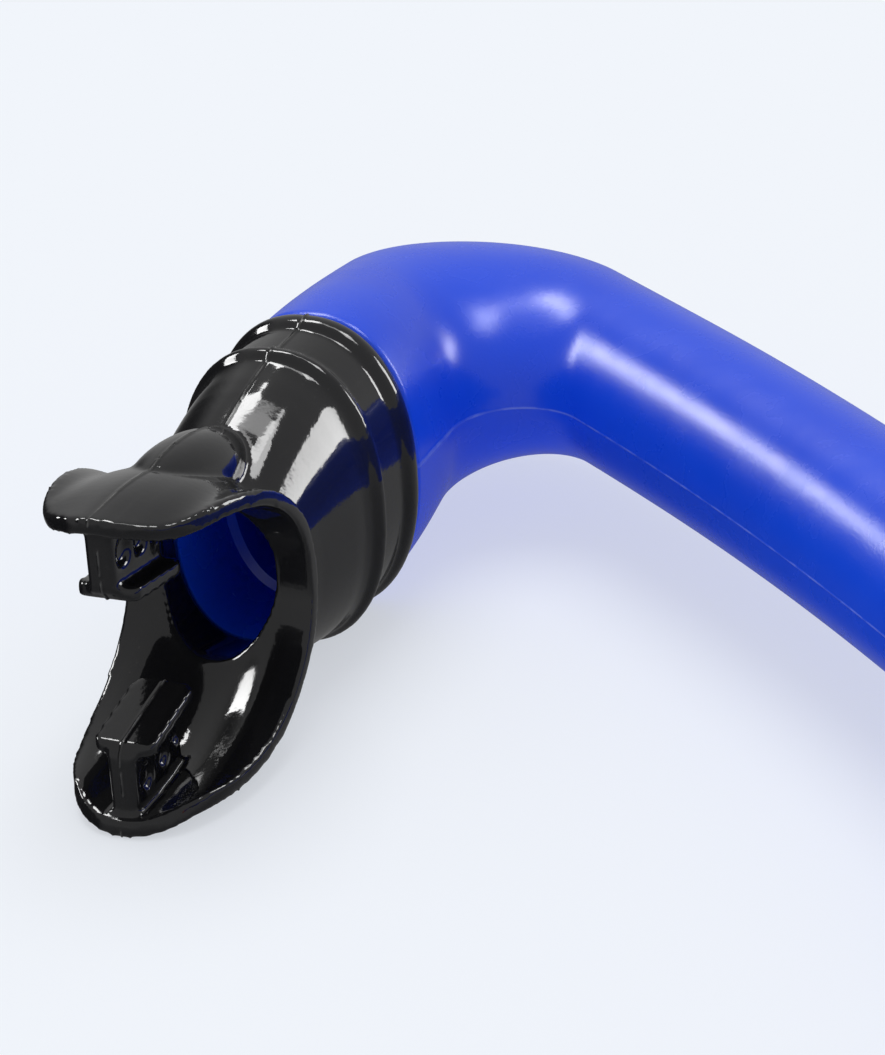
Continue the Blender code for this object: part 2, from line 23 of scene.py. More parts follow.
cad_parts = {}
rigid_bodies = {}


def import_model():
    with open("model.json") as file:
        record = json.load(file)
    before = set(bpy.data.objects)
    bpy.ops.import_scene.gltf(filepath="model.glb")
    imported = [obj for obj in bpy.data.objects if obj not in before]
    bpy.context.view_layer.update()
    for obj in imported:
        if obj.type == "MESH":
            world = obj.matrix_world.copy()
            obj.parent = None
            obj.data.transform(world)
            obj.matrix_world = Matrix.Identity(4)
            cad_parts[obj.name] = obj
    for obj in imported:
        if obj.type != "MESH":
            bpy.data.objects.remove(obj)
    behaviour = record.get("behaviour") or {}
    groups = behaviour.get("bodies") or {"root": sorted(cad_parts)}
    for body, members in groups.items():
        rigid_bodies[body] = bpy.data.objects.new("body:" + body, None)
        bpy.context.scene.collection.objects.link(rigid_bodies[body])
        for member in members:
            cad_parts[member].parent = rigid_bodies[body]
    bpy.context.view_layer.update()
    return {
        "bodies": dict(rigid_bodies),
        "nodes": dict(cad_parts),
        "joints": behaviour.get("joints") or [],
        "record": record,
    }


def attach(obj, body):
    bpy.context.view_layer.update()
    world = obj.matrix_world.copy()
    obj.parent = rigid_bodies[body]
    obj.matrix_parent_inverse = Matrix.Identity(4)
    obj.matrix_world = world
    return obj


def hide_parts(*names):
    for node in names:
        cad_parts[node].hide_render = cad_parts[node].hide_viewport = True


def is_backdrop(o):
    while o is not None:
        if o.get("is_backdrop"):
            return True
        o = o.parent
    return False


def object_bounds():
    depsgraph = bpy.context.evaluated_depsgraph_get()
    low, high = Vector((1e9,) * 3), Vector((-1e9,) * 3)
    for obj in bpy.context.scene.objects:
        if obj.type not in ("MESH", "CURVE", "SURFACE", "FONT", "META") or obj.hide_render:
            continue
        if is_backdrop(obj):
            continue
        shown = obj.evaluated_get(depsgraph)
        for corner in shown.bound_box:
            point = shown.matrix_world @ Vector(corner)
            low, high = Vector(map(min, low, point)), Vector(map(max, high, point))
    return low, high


LOG = logging.getLogger("snorkel")
MM = 0.001
PLACE_MARK = "section_place"
LINE_MARK = "mould_line"
SCUFF_SCALE = 900.0
SPECK_SCALE = 700.0

Ring = list[Vector]


class Node(Enum):
    """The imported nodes, by the name that the record gives them."""

    BARREL = "barrel"
    MOUTHPIECE = "mouthpiece"
    SIGNAL_BAND = "signal_band"
    KEEPER_SLEEVE = "keeper_sleeve"
    STRAP_CLIP = "strap_clip"


class Body(Enum):
    """The moving bodies of the frame."""

    BARREL = "barrel"
    MOUTHPIECE = "mouthpiece"
    KEEPER_SLEEVE = "keeper_sleeve"
    STRAP_CLIP = "strap_clip"


class Slot(Enum):
    """Material slots of the record."""

    BLUE = "barrel_blue"
    RUBBER = "mouthpiece_black"
    ORANGE = "signal_orange"
    KEEPER = "keeper_black"


class Side(Enum):
    """Upper or lower half of the mouthpiece."""

    UPPER = 1.0
    LOWER = -1.0


# ---- small sums ----------------------------------------------------------------------------


def smooth(value: float) -> float:
    """A smooth step from 0 to 1."""
    value = min(max(value, 0.0), 1.0)
    return value * value * (3.0 - 2.0 * value)


def mixed(first: float, last: float, share: float) -> float:
    """The value this share of the way from first to last."""
    return first + (last - first) * share


def spread(first: float, last: float, steps: int) -> list[float]:
    """Evenly spaced values from first to last, both included."""
    return [mixed(first, last, step / steps) for step in range(steps + 1)]


def superellipse(
    angle: float, half_across: float, half_up: float, power: float
) -> tuple[float, float]:
    """A point of a superellipse.

    Args:
        angle: Parameter, from 0 at the across axis.
        half_across: Half width.
        half_up: Half height.
        power: 2 for an ellipse, more for squarer corners.

    Returns:
        The across and up coordinates.
    """
    cos, sin = math.cos(angle), math.sin(angle)
    return (
        math.copysign(abs(cos) ** (2.0 / power), cos) * half_across,
        math.copysign(abs(sin) ** (2.0 / power), sin) * half_up,
    )


@dataclass(frozen=True)
class SnorkelFrame:
    """The snorkel's own frame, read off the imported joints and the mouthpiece.

    Attributes:
        matrix: From the snorkel's frame to the row's.
        low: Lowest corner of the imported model.
        high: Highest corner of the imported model.
    """

    matrix: Matrix
    low: Vector
    high: Vector

    @classmethod
    def of(cls, frame: dict[str, Any], rim_half: float) -> "SnorkelFrame":
        """Builds the frame from the loaded row.

        Args:
            rim_half: Half the width of the mouthpiece's rear rim bead.

        Returns:
            The snorkel's frame.
        """
        joints = {joint["name"]: joint for joint in frame["joints"]}
        forward = Vector(joints["mouthpiece_pull"]["axis"]).normalized()
        leg_way = Vector(joints["keeper_slide"]["axis"]).normalized()
        normal = forward.cross(leg_way).normalized()
        across = (-forward).cross(normal)
        points = [vertex.co for vertex in frame["nodes"][Node.MOUTHPIECE.value].data.vertices]

        def ends(axis: Vector) -> tuple[float, float]:
            """Least and greatest reach of the mouthpiece along an axis."""
            reach = [point.dot(axis) for point in points]
            return min(reach), max(reach)

        origin = across * sum(ends(across)) / 2.0 + normal * sum(ends(normal)) / 2.0
        origin += forward * (ends(forward)[0] + rim_half)
        matrix = Matrix((across, -forward, normal)).transposed().to_4x4()
        matrix.translation = origin
        low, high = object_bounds()
        return cls(matrix, Vector(low), Vector(high))

    def keep_inside(self, made: bpy.types.Object) -> None:
        """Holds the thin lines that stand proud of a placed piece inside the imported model's box."""
        for vertex in made.data.vertices:
            for axis in range(3):
                vertex.co[axis] = min(max(vertex.co[axis], self.low[axis]), self.high[axis])


# ---- the modelling bench -------------------------------------------------------------------


class Bench:
    """Short calls onto Blender's own modelling tools."""

    @staticmethod
    def clear() -> None:
        """Leaves edit mode and deselects everything."""
        if bpy.context.object is not None and bpy.context.object.mode != "OBJECT":
            bpy.ops.object.mode_set(mode="OBJECT")
        bpy.ops.object.select_all(action="DESELECT")

    @staticmethod
    def pick(piece: bpy.types.Object) -> None:
        """Makes one object the only one selected, and active."""
        Bench.clear()
        piece.select_set(True)
        bpy.context.view_layer.objects.active = piece

    @staticmethod
    def added(name: str) -> bpy.types.Object:
        """Names the object that a primitive operator has just added."""
        made = bpy.context.object
        made.name = made.data.name = name
        return made

    @staticmethod
    def place(piece: bpy.types.Object, matrix: Matrix) -> bpy.types.Object:
        """Moves the mesh itself by a matrix, so that the object stays at the origin."""
        piece.data.transform(piece.matrix_basis)
        piece.matrix_basis = Matrix.Identity(4)
        piece.data.transform(matrix)
        piece.data.update()
        return piece

    @staticmethod
    def add_modifier(piece: bpy.types.Object, kind: str, **settings: Any) -> None:
        """Adds a modifier with these settings and applies it."""
        Bench.pick(piece)
        modifier = piece.modifiers.new(kind.lower(), kind)
        for name, value in settings.items():
            setattr(modifier, name, value)
        bpy.ops.object.modifier_apply(modifier=modifier.name)

    @staticmethod
    def combine(piece: bpy.types.Object, other: bpy.types.Object, operation: str) -> None:
        """Joins or cuts piece with other, which is used up."""
        Bench.add_modifier(piece, "BOOLEAN", object=other, operation=operation, solver="EXACT")
        bpy.data.objects.remove(other, do_unlink=True)

    @staticmethod
    def face_out(piece: bpy.types.Object) -> None:
        """Merges doubles and turns every face of a closed piece outwards."""
        Bench.pick(piece)
        bpy.ops.object.mode_set(mode="EDIT")
        bpy.ops.mesh.select_all(action="SELECT")
        bpy.ops.mesh.remove_doubles(threshold=1e-6)
        bpy.ops.mesh.normals_make_consistent(inside=False)
        if bmesh.from_edit_mesh(piece.data).calc_volume(signed=True) < 0.0:
            bpy.ops.mesh.flip_normals()
        bpy.ops.object.mode_set(mode="OBJECT")

    @staticmethod
    def soften(piece: bpy.types.Object, angle: float = 40.0) -> None:
        """Shades a piece smooth, keeping edges sharper than this angle in degrees."""
        Bench.pick(piece)
        bpy.ops.object.shade_smooth_by_angle(angle=math.radians(angle))

    @staticmethod
    def skin(name: str, rings: Sequence[Ring], closed: bool = False) -> bpy.types.Object:
        """A tube through section rings: a circle is shaped, then extruded from ring to ring.

        Args:
            name: The new object's name.
            rings: Sections with equal point counts, in order.
            closed: Whether the last section also joins the first, else both ends are capped.

        Returns:
            The new object, at the origin.
        """
        count = len(rings[0])
        Bench.clear()
        bpy.ops.mesh.primitive_circle_add(vertices=count, radius=1.0)
        made = Bench.added(name)
        for vertex, point in zip(made.data.vertices, rings[0]):
            vertex.co = point
        bpy.ops.object.mode_set(mode="EDIT")
        bpy.ops.mesh.select_all(action="SELECT")
        places = {index: index for index in range(count)}
        order = list(range(count))
        for number, ring in enumerate(list(rings[1:]) + ([rings[0]] if closed else []), 1):
            bpy.ops.mesh.extrude_edges_indiv()
            mesh = bmesh.from_edit_mesh(made.data)
            mesh.verts.index_update()
            moved = {}
            for vertex in mesh.verts:
                if not vertex.select:
                    continue
                near = (edge.other_vert(vertex).index for edge in vertex.link_edges)
                moved[vertex.index] = next(places[index] for index in near if index in places)
                vertex.co = ring[moved[vertex.index]]
            order += [number * count + moved[index] for index in sorted(moved)]
            places = moved
            bmesh.update_edit_mesh(made.data)
        bpy.ops.object.mode_set(mode="OBJECT")
        made.data.attributes.new(PLACE_MARK, "INT", "POINT").data.foreach_set("value", order)
        if not closed:
            Bench.cap(made)
        Bench.face_out(made)
        return made

    @staticmethod
    def cap(piece: bpy.types.Object) -> None:
        """Closes every open rim of a piece with one face."""
        Bench.pick(piece)
        bpy.ops.object.mode_set(mode="EDIT")
        bpy.ops.mesh.select_mode(type="EDGE")
        bpy.ops.mesh.select_all(action="DESELECT")
        bpy.ops.mesh.select_non_manifold()
        bpy.ops.mesh.edge_face_add()
        bpy.ops.mesh.select_mode(type="VERT")
        bpy.ops.object.mode_set(mode="OBJECT")

    @staticmethod
    def turned(name: str, profile: Sequence[tuple[float, float]], steps: int) -> bpy.types.Object:
        """A ring spun about +Z from a closed profile of (radius, height) corners."""
        Bench.clear()
        bpy.ops.mesh.primitive_circle_add(vertices=len(profile), radius=1.0)
        made = Bench.added(name)
        for vertex, (radius, height) in zip(made.data.vertices, profile):
            vertex.co = (radius, 0.0, height)
        bpy.ops.object.mode_set(mode="EDIT")
        bpy.ops.mesh.select_all(action="SELECT")
        middle, up = (0.0, 0.0, 0.0), (0.0, 0.0, 1.0)
        bpy.ops.mesh.spin(steps=steps, angle=math.tau, center=middle, axis=up)
        bpy.ops.object.mode_set(mode="OBJECT")
        Bench.face_out(made)
        return made

    @staticmethod
    def block(name: str, low: Sequence[float], high: Sequence[float]) -> bpy.types.Object:
        """A box between two corners, with its place in its mesh."""
        Bench.clear()
        bpy.ops.mesh.primitive_cube_add(size=1.0)
        made = Bench.added(name)
        middle = (Vector(low) + Vector(high)) / 2.0
        sides = Vector(high) - Vector(low)
        return Bench.place(made, Matrix.Translation(middle) @ Matrix.Diagonal((*sides, 1.0)))

    @staticmethod
    def round_edges(piece: bpy.types.Object, width: float, test: Callable[[Vector], bool]) -> None:
        """Bevels the edges whose direction passes a test, in edit mode."""
        Bench.pick(piece)
        bpy.ops.object.mode_set(mode="EDIT")
        bpy.ops.mesh.select_mode(type="EDGE")
        bpy.ops.mesh.select_all(action="DESELECT")
        mesh = bmesh.from_edit_mesh(piece.data)
        for edge in mesh.edges:
            way = (edge.verts[0].co - edge.verts[1].co).normalized()
            if test(way):
                edge.select = True
        bmesh.update_edit_mesh(piece.data)
        bpy.ops.mesh.bevel(offset=width, segments=5, affect="EDGES")
        bpy.ops.mesh.select_mode(type="VERT")
        bpy.ops.object.mode_set(mode="OBJECT")

    @staticmethod
    def remould(piece: bpy.types.Object, voxel: float, passes: int) -> None:
        """Remeshes a joined solid and relaxes it, which gives every edge a moulded fillet."""
        Bench.add_modifier(piece, "REMESH", mode="VOXEL", voxel_size=voxel, use_smooth_shade=True)
        Bench.add_modifier(piece, "SMOOTH", factor=0.5, iterations=passes)


# ---- node trees ----------------------------------------------------------------------------


class Tree:
    """A thin wrapper that adds and links shader nodes."""

    def __init__(self, tree: bpy.types.NodeTree) -> None:
        """Wraps a node tree."""
        self.tree = tree

    def add(
        self, kind: str, inputs: dict[Any, Any] | None = None, **settings: Any
    ) -> bpy.types.Node:
        """Adds a node.

        Args:
            kind: The node type, without its ShaderNode prefix.
            inputs: Socket values or output sockets to link, by input name or index.
            settings: Attributes of the node.

        Returns:
            The new node.
        """
        node = self.tree.nodes.new("ShaderNode" + kind)
        for name, value in settings.items():
            setattr(node, name, value)
        for key, value in (inputs or {}).items():
            if isinstance(value, bpy.types.NodeSocket):
                self.tree.links.new(value, node.inputs[key])
            else:
                node.inputs[key].default_value = value
        return node

    def maths(self, operation: str, first: Any, second: Any = 0.0) -> bpy.types.NodeSocket:
        """Adds a Math node and returns its value."""
        return self.add("Math", {0: first, 1: second}, operation=operation).outputs[0]

    def ramp(
        self, value: Any, low: float, high: float, out_low: float = 0.0, out_high: float = 1.0
    ) -> Any:
        """Maps low..high smoothly onto out_low..out_high."""
        node = self.add(
            "MapRange",
            {0: value, 1: low, 2: high, 3: out_low, 4: out_high},
            interpolation_type="SMOOTHSTEP",
        )
        return node.outputs[0]

    def tint(self, factor: Any, first: Any, second: Any) -> bpy.types.NodeSocket:
        """Mixes two colours."""
        node = self.add("Mix", {0: factor, 6: first, 7: second}, data_type="RGBA")
        return node.outputs[2]

    def noise(self, place: Any, scale: float, detail: float = 3.0, rough: float = 0.5) -> Any:
        """Adds a noise texture and returns its value."""
        inputs = {"Vector": place, "Scale": scale, "Detail": detail, "Roughness": rough}
        return self.add("TexNoise", inputs).outputs[0]


class Effect(Enum):
    """Shared surface effects, each a shader node group."""

    HANDLING = "handling marks"
    MOULD_GRAIN = "mould grain"
    DUST = "dust"


class Effects:
    """Builds each shared effect once and places it in materials."""

    _made: dict[Effect, bpy.types.NodeTree] = {}

    @classmethod
    def group(cls, effect: Effect) -> bpy.types.NodeTree:
        """The node group of an effect, built on its first use."""
        if effect not in cls._made:
            builders = {
                Effect.HANDLING: cls._handling,
                Effect.MOULD_GRAIN: cls._mould_grain,
                Effect.DUST: cls._dust,
            }
            cls._made[effect] = builders[effect]()
        return cls._made[effect]

    @classmethod
    def use(cls, tree: Tree, effect: Effect, **values: Any) -> bpy.types.NodeSocket:
        """Places an effect in a material and returns its output."""
        node = tree.add("Group", node_tree=cls.group(effect))
        for name, value in values.items():
            socket = node.inputs[name.replace("_", " ")]
            if isinstance(value, bpy.types.NodeSocket):
                tree.tree.links.new(value, socket)
            else:
                socket.default_value = value
        return node.outputs[0]

    @staticmethod
    def _blank(effect: Effect, inputs: dict[str, float], output: str) -> tuple[Tree, Any, Any]:
        """A new group with a Place vector input, float inputs and one float output."""
        tree = bpy.data.node_groups.new(effect.value, "ShaderNodeTree")
        tree.interface.new_socket("Place", in_out="INPUT", socket_type="NodeSocketVector")
        for name, value in inputs.items():
            made = tree.interface.new_socket(name, in_out="INPUT", socket_type="NodeSocketFloat")
            made.default_value = value
        tree.interface.new_socket(output, in_out="OUTPUT", socket_type="NodeSocketFloat")
        return Tree(tree), tree.nodes.new("NodeGroupInput"), tree.nodes.new("NodeGroupOutput")

    @classmethod
    def _handling(cls) -> bpy.types.NodeTree:
        """Fine scuffs in two slanting ways, gathered in patches: 0 is untouched."""
        values = {"Scale": SCUFF_SCALE, "Amount": 0.5}
        tree, given, out = cls._blank(Effect.HANDLING, values, "Mask")
        total: Any = 0.0
        stretch = (1.0, 0.06, 1.0)
        for turn in ((0.4, 0.2, 0.9), (1.3, 0.7, 2.2)):
            inputs = {"Vector": given.outputs["Place"], "Rotation": turn, "Scale": stretch}
            mapped = tree.add("Mapping", inputs)
            line = tree.add("TexNoise", {"Vector": mapped.outputs[0], "Detail": 2.0})
            tree.tree.links.new(given.outputs["Scale"], line.inputs["Scale"])
            total = tree.maths("ADD", total, tree.ramp(line.outputs[0], 0.62, 0.74))
        patch = tree.ramp(tree.noise(given.outputs["Place"], 55.0, 4.0), 0.42, 0.66)
        mask = tree.maths("MULTIPLY", tree.maths("MULTIPLY", total, patch), given.outputs["Amount"])
        tree.tree.links.new(tree.maths("MINIMUM", mask, 1.0), out.inputs["Mask"])
        return tree.tree

    @classmethod
    def _mould_grain(cls) -> bpy.types.NodeTree:
        """The faint unevenness of a moulded skin, as a height."""
        tree, given, out = cls._blank(Effect.MOULD_GRAIN, {"Scale": 1400.0, "Waves": 0.5}, "Height")
        fine = tree.add("TexNoise", {"Vector": given.outputs["Place"], "Detail": 2.0})
        tree.tree.links.new(given.outputs["Scale"], fine.inputs["Scale"])
        wave = tree.noise(given.outputs["Place"], 90.0, 1.0)
        swell = tree.maths("MULTIPLY", wave, given.outputs["Waves"])
        tree.tree.links.new(tree.maths("ADD", fine.outputs[0], swell), out.inputs["Height"])
        return tree.tree

    @classmethod
    def _dust(cls) -> bpy.types.NodeTree:
        """Sparse specks, more of them in some patches."""
        tree, given, out = cls._blank(Effect.DUST, {"Scale": SPECK_SCALE, "Amount": 0.5}, "Mask")
        cells = tree.add("TexVoronoi", {"Vector": given.outputs["Place"], "Randomness": 1.0})
        tree.tree.links.new(given.outputs["Scale"], cells.inputs["Scale"])
        speck = tree.ramp(cells.outputs["Distance"], 0.0, 0.16, 1.0, 0.0)
        patch = tree.ramp(tree.noise(given.outputs["Place"], 120.0, 3.0), 0.5, 0.62)
        mask = tree.maths("MULTIPLY", tree.maths("MULTIPLY", speck, patch), given.outputs["Amount"])
        tree.tree.links.new(mask, out.inputs["Mask"])
        return tree.tree


@dataclass(frozen=True)
class Finish:
    """A moulded finish: colour with slow variation, scuffs, grain and specks.

    Attributes:
        name: Material name.
        colour: Main colour, linear.
        shade: Colour that the slow variation leans to.
        scuffed: Colour of scuffs and mould lines.
        roughness: Roughness of the clean surface.
        worn_roughness: Roughness where scuffed.
        scuffs: Amount of scuffs.
        specks: Amount of dust specks.
        grain: Height of the mould grain, in metres.
        grain_scale: Fineness of the grain.
        waves: Share of slow waves in the grain.
        line_mark: Mesh attribute of the mould line, if the piece has one.
    """

    name: str
    colour: tuple[float, float, float]
    shade: tuple[float, float, float]
    scuffed: tuple[float, float, float]
    roughness: float
    worn_roughness: float
    scuffs: float
    specks: float
    grain: float
    grain_scale: float = 1400.0
    waves: float = 0.5
    line_mark: str = ""

    def material(self) -> bpy.types.Material:
        """Builds the material."""
        made = bpy.data.materials.new(self.name)
        made.use_nodes = True
        tree = Tree(made.node_tree)
        shader = made.node_tree.nodes["Principled BSDF"]
        place = tree.add("TexCoord").outputs["Object"]
        slow = tree.ramp(tree.noise(place, 38.0, 4.0), 0.35, 0.7)
        colour = tree.tint(slow, (*self.colour, 1.0), (*self.shade, 1.0))
        scuffs = Effects.use(
            tree, Effect.HANDLING, Place=place, Scale=SCUFF_SCALE, Amount=self.scuffs
        )
        specks = Effects.use(tree, Effect.DUST, Place=place, Scale=SPECK_SCALE, Amount=self.specks)
        worn = tree.maths("MAXIMUM", scuffs, specks)
        if self.line_mark:
            mark = tree.add("Attribute", attribute_name=self.line_mark).outputs["Fac"]
            broken = tree.ramp(tree.noise(place, 420.0, 3.0), 0.36, 0.6, 0.25, 1.0)
            worn = tree.maths("MAXIMUM", worn, tree.maths("MULTIPLY", mark, broken))
        colour = tree.tint(worn, colour, (*self.scuffed, 1.0))
        uneven = tree.ramp(tree.noise(place, 160.0, 4.0), 0.3, 0.7, -0.02, 0.03)
        rough = tree.maths("ADD", uneven, self.roughness)
        spare = tree.maths("MULTIPLY", worn, self.worn_roughness - self.roughness)
        rough = tree.maths("ADD", rough, spare)
        height = Effects.use(
            tree, Effect.MOULD_GRAIN, Place=place, Scale=self.grain_scale, Waves=self.waves
        )
        bump = tree.add("Bump", {"Height": height, "Strength": 1.0, "Distance": self.grain})
        made.node_tree.links.new(colour, shader.inputs["Base Color"])
        made.node_tree.links.new(rough, shader.inputs["Roughness"])
        made.node_tree.links.new(bump.outputs[0], shader.inputs["Normal"])
        return made


BARREL_BLUE = Finish(
    name="satin_blue_plastic",
    colour=(0.004, 0.072, 0.82),
    shade=(0.004, 0.064, 0.77),
    scuffed=(0.16, 0.24, 0.85),
    roughness=0.26,
    worn_roughness=0.40,
    scuffs=0.012,
    specks=0.0,
    grain=0.000016,
    grain_scale=2600.0,
    line_mark=LINE_MARK,
)
MOUTHPIECE_RUBBER = Finish(
    name="glossy_black_rubber",
    colour=(0.0075, 0.0075, 0.0085),
    shade=(0.010, 0.010, 0.011),
    scuffed=(0.11, 0.108, 0.105),
    roughness=0.07,
    worn_roughness=0.5,
    scuffs=0.04,
    specks=0.15,
    grain=0.00001,
    waves=1.2,
    line_mark=LINE_MARK,
)
BAND_ORANGE = Finish(
    name="signal_orange_sleeve",
    colour=(0.85, 0.115, 0.012),
    shade=(0.78, 0.095, 0.010),
    scuffed=(0.95, 0.32, 0.14),
    roughness=0.42,
    worn_roughness=0.6,
    scuffs=0.25,
    specks=0.20,
    grain=0.00004,
)
KEEPER_PLASTIC = Finish(
    name="keeper_black_plastic",
    colour=(0.012, 0.012, 0.014),
    shade=(0.018, 0.018, 0.020),
    scuffed=(0.07, 0.07, 0.072),
    roughness=0.34,
    worn_roughness=0.55,
    scuffs=0.30,
    specks=0.25,
    grain=0.00005,
)


# ---- sub-assemblies ------------------------------------------------------------------------


@dataclass
class Piece:
    """What every visible piece has in common.

    Attributes:
        frame: The snorkel's own frame.
    """

    frame: SnorkelFrame

    def dress(
        self, made: bpy.types.Object, finish: Finish, body: Body, nodes: Iterable[Node], slot: Slot
    ) -> bpy.types.Object:
        """Moves a finished mesh into the row's frame, and gives it its finish and body.

        Args:
            made: The piece, modelled in the snorkel's frame.
            finish: Its finish.
            body: The body that it rides on.
            nodes: The nodes that it stands for.
            slot: The record's material slot; not used.

        Returns:
            The piece.
        """
        Bench.place(made, self.frame.matrix)
        self.frame.keep_inside(made)
        made.data.materials.clear()
        made.data.materials.append(finish.material())
        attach(made, body.value)
        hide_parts(*(node.value for node in nodes))
        LOG.info("%s: %d faces", made.name, len(made.data.polygons))
        return made


@dataclass
class Barrel(Piece):
    """The tube: stepped spigot, oval short leg, elbow and long leg, hollow from end to end."""

    tube_radius: float = 12.0 * MM
    wall: float = 1.9 * MM
    leg_angle: float = math.radians(52.5)
    leg_curve_radius: float = 550.0 * MM
    leg_curve_length: float = 150.0 * MM
    leg_straight_length: float = 142.0 * MM
    leg_merge: float = 42.0 * MM
    oval: tuple[float, float] = (13.3 * MM, 19.6 * MM)
    oval_power: float = 2.25
    inner_straight: float = 14.0 * MM
    inner_bend: float = 9.0 * MM
    outer_straight: float = 37.0 * MM
    oval_blend: float = 58.0 * MM
    shoulder: float = -2.1 * MM
    spigot_end: float = 23.0 * MM
    spigot_root: tuple[float, float] = (10.9 * MM, 17.2 * MM)
    spigot_tip: tuple[float, float] = (9.6 * MM, 14.5 * MM)
    spigot_wall: float = 2.0 * MM
    grip_rings: tuple[float, float] = (5.0 * MM, 14.0 * MM)
    grip_half: float = 1.2 * MM
    grip_rise: float = 0.5 * MM
    mould_line_width: float = 0.35 * MM
    mould_line_rise: float = 0.10 * MM
    shoulder_edge: float = 0.35 * MM
    spigot_lip: float = 0.6 * MM
    rim_lip: float = 0.5 * MM
    bore_step: float = 1.1 * MM

    @property
    def line_edge(self) -> float:
        """Half the mould line's width, as an angle of the section."""
        return self.mould_line_width / self.tube_radius / 2.0

    @staticmethod
    def off_line(angle: float) -> float:
        """How far a section angle is from the nearer of the two mould lines."""
        return min(
            abs(math.remainder(angle, math.tau)), abs(math.remainder(angle - math.pi, math.tau))
        )

    def heading(self, angle: float) -> Vector:
        """Unit vector in the J plane at this angle from the way the mouthpiece faces."""
        return Vector((math.sin(angle), -math.cos(angle), 0.0))

    def inner_side(self, angle: float) -> Vector:
        """Unit vector towards the inside of the J, square to the heading."""
        return Vector((-math.cos(angle), -math.sin(angle), 0.0))

    @property
    def leg_length(self) -> float:
        """Length of the long leg, from the end of the elbow to the top rim."""
        return self.leg_curve_length + self.leg_straight_length

    @property
    def outer_bend(self) -> float:
        """Radius of the elbow's outer line, which closes the outline onto the leg."""
        across = 2.0 * self.tube_radius + 2.0 * self.oval[0] * math.cos(self.leg_angle)
        along = (self.inner_straight - self.outer_straight) * math.sin(self.leg_angle)
        return self.inner_bend + (across + along) / (1.0 + math.cos(self.leg_angle))

    def rail(self, side: float, share: float) -> Vector:
        """A point on the J-plane outline.

        Args:
            side: 1 for the inner line, -1 for the outer one.
            share: 0 to 1 along the short leg, 1 to 2 round the bend.

        Returns:
            The point.
        """
        straight = self.inner_straight if side > 0.0 else self.outer_straight
        radius = self.inner_bend if side > 0.0 else self.outer_bend
        offset = side * self.oval[0]
        if share <= 1.0:
            return Vector((offset, -mixed(self.shoulder, -straight, share), 0.0))
        turned = (share - 1.0) * (math.pi - self.leg_angle)
        return Vector(
            (offset + radius * (1.0 - math.cos(turned)), straight + radius * math.sin(turned), 0.0)
        )

    def leg(self, distance: float) -> tuple[Vector, Vector, Vector]:
        """Centre, way and inner side of the long leg, this far past its start."""
        inside = self.inner_side(self.leg_angle)
        start = self.rail(1.0, 2.0) - inside * self.tube_radius
        if distance <= 0.0:
            way = self.heading(self.leg_angle)
            return start + way * distance, way, inside
        turned = min(distance, self.leg_curve_length) / self.leg_curve_radius
        side = self.inner_side(self.leg_angle - turned)
        way = self.heading(self.leg_angle - turned)
        centre = start + self.leg_curve_radius * (inside - side)
        return centre + way * max(distance - self.leg_curve_length, 0.0), way, side

    def leg_matrix(self, drop: float) -> Matrix:
        """Placement on the leg, this far below the top rim: Z up the tube, X to the inside."""
        centre, way, inside = self.leg(self.leg_length - drop)
        turn = Matrix((inside, way.cross(inside), way)).transposed().to_4x4()
        return Matrix.Translation(centre) @ turn

    def stations(self) -> list[tuple[Vector, Vector]]:
        """Inner and outer outline points from the shoulder to the top rim."""
        shares = spread(0.0, 1.0, 14)[:-1] + spread(1.0, 2.0, 36)
        pairs = [(self.rail(1.0, share), self.rail(-1.0, share)) for share in shares]
        behind = (self.rail(-1.0, 2.0) - self.rail(1.0, 2.0)).dot(self.heading(self.leg_angle))
        for share in spread(0.0, 1.0, 16)[1:]:
            inner, _, inner_in = self.leg(self.leg_merge * share)
            outer, _, outer_in = self.leg(mixed(behind, self.leg_merge, share))
            pairs.append((inner + inner_in * self.tube_radius, outer - outer_in * self.tube_radius))
        places = spread(self.leg_merge, self.leg_curve_length, 30)[1:]
        places += spread(self.leg_curve_length, self.leg_length, 8)[1:]
        for place in places:
            centre, _, inside = self.leg(place)
            pairs.append((centre + inside * self.tube_radius, centre - inside * self.tube_radius))
        return pairs

    def angles(self) -> list[float]:
        """Section angles, closer together at the mould line on either side of the J."""
        edge = self.line_edge
        near = [-2.2 * edge, -edge, 0.0, edge, 2.2 * edge]
        plain = spread(0.0, math.pi, 34)[1:-1]
        far = [math.pi + step for step in near + plain]
        return near[2:] + plain + far + near[:2]

    def ring(
        self,
        centre: Vector,
        across: Vector,
        half: tuple[float, float],
        power: float,
        line: float,
    ) -> Ring:
        """One section.

        Args:
            centre: Middle of the section.
            across: Unit vector in the J plane, square to the tube.
            half: Half width and half height.
            power: Superellipse power.
            line: Height of the mould line.

        Returns:
            The section's points.
        """
        points = []
        for angle in self.angles():
            rise = line * smooth(1.0 - self.off_line(angle) / (1.2 * self.line_edge))
            reach, up = superellipse(angle, half[0] + rise, half[1] + rise, power)
            points.append(centre + across * reach + Vector((0.0, 0.0, up)))
        return points

    def mouth_ring(self, distance: float, half: tuple[float, float], line: float = 0.0) -> Ring:
        """A section of the spigot, this far in front of the mouthpiece's rear rim."""
        centre, across = Vector((0.0, -distance, 0.0)), Vector((1.0, 0.0, 0.0))
        return self.ring(centre, across, half, self.oval_power, line)

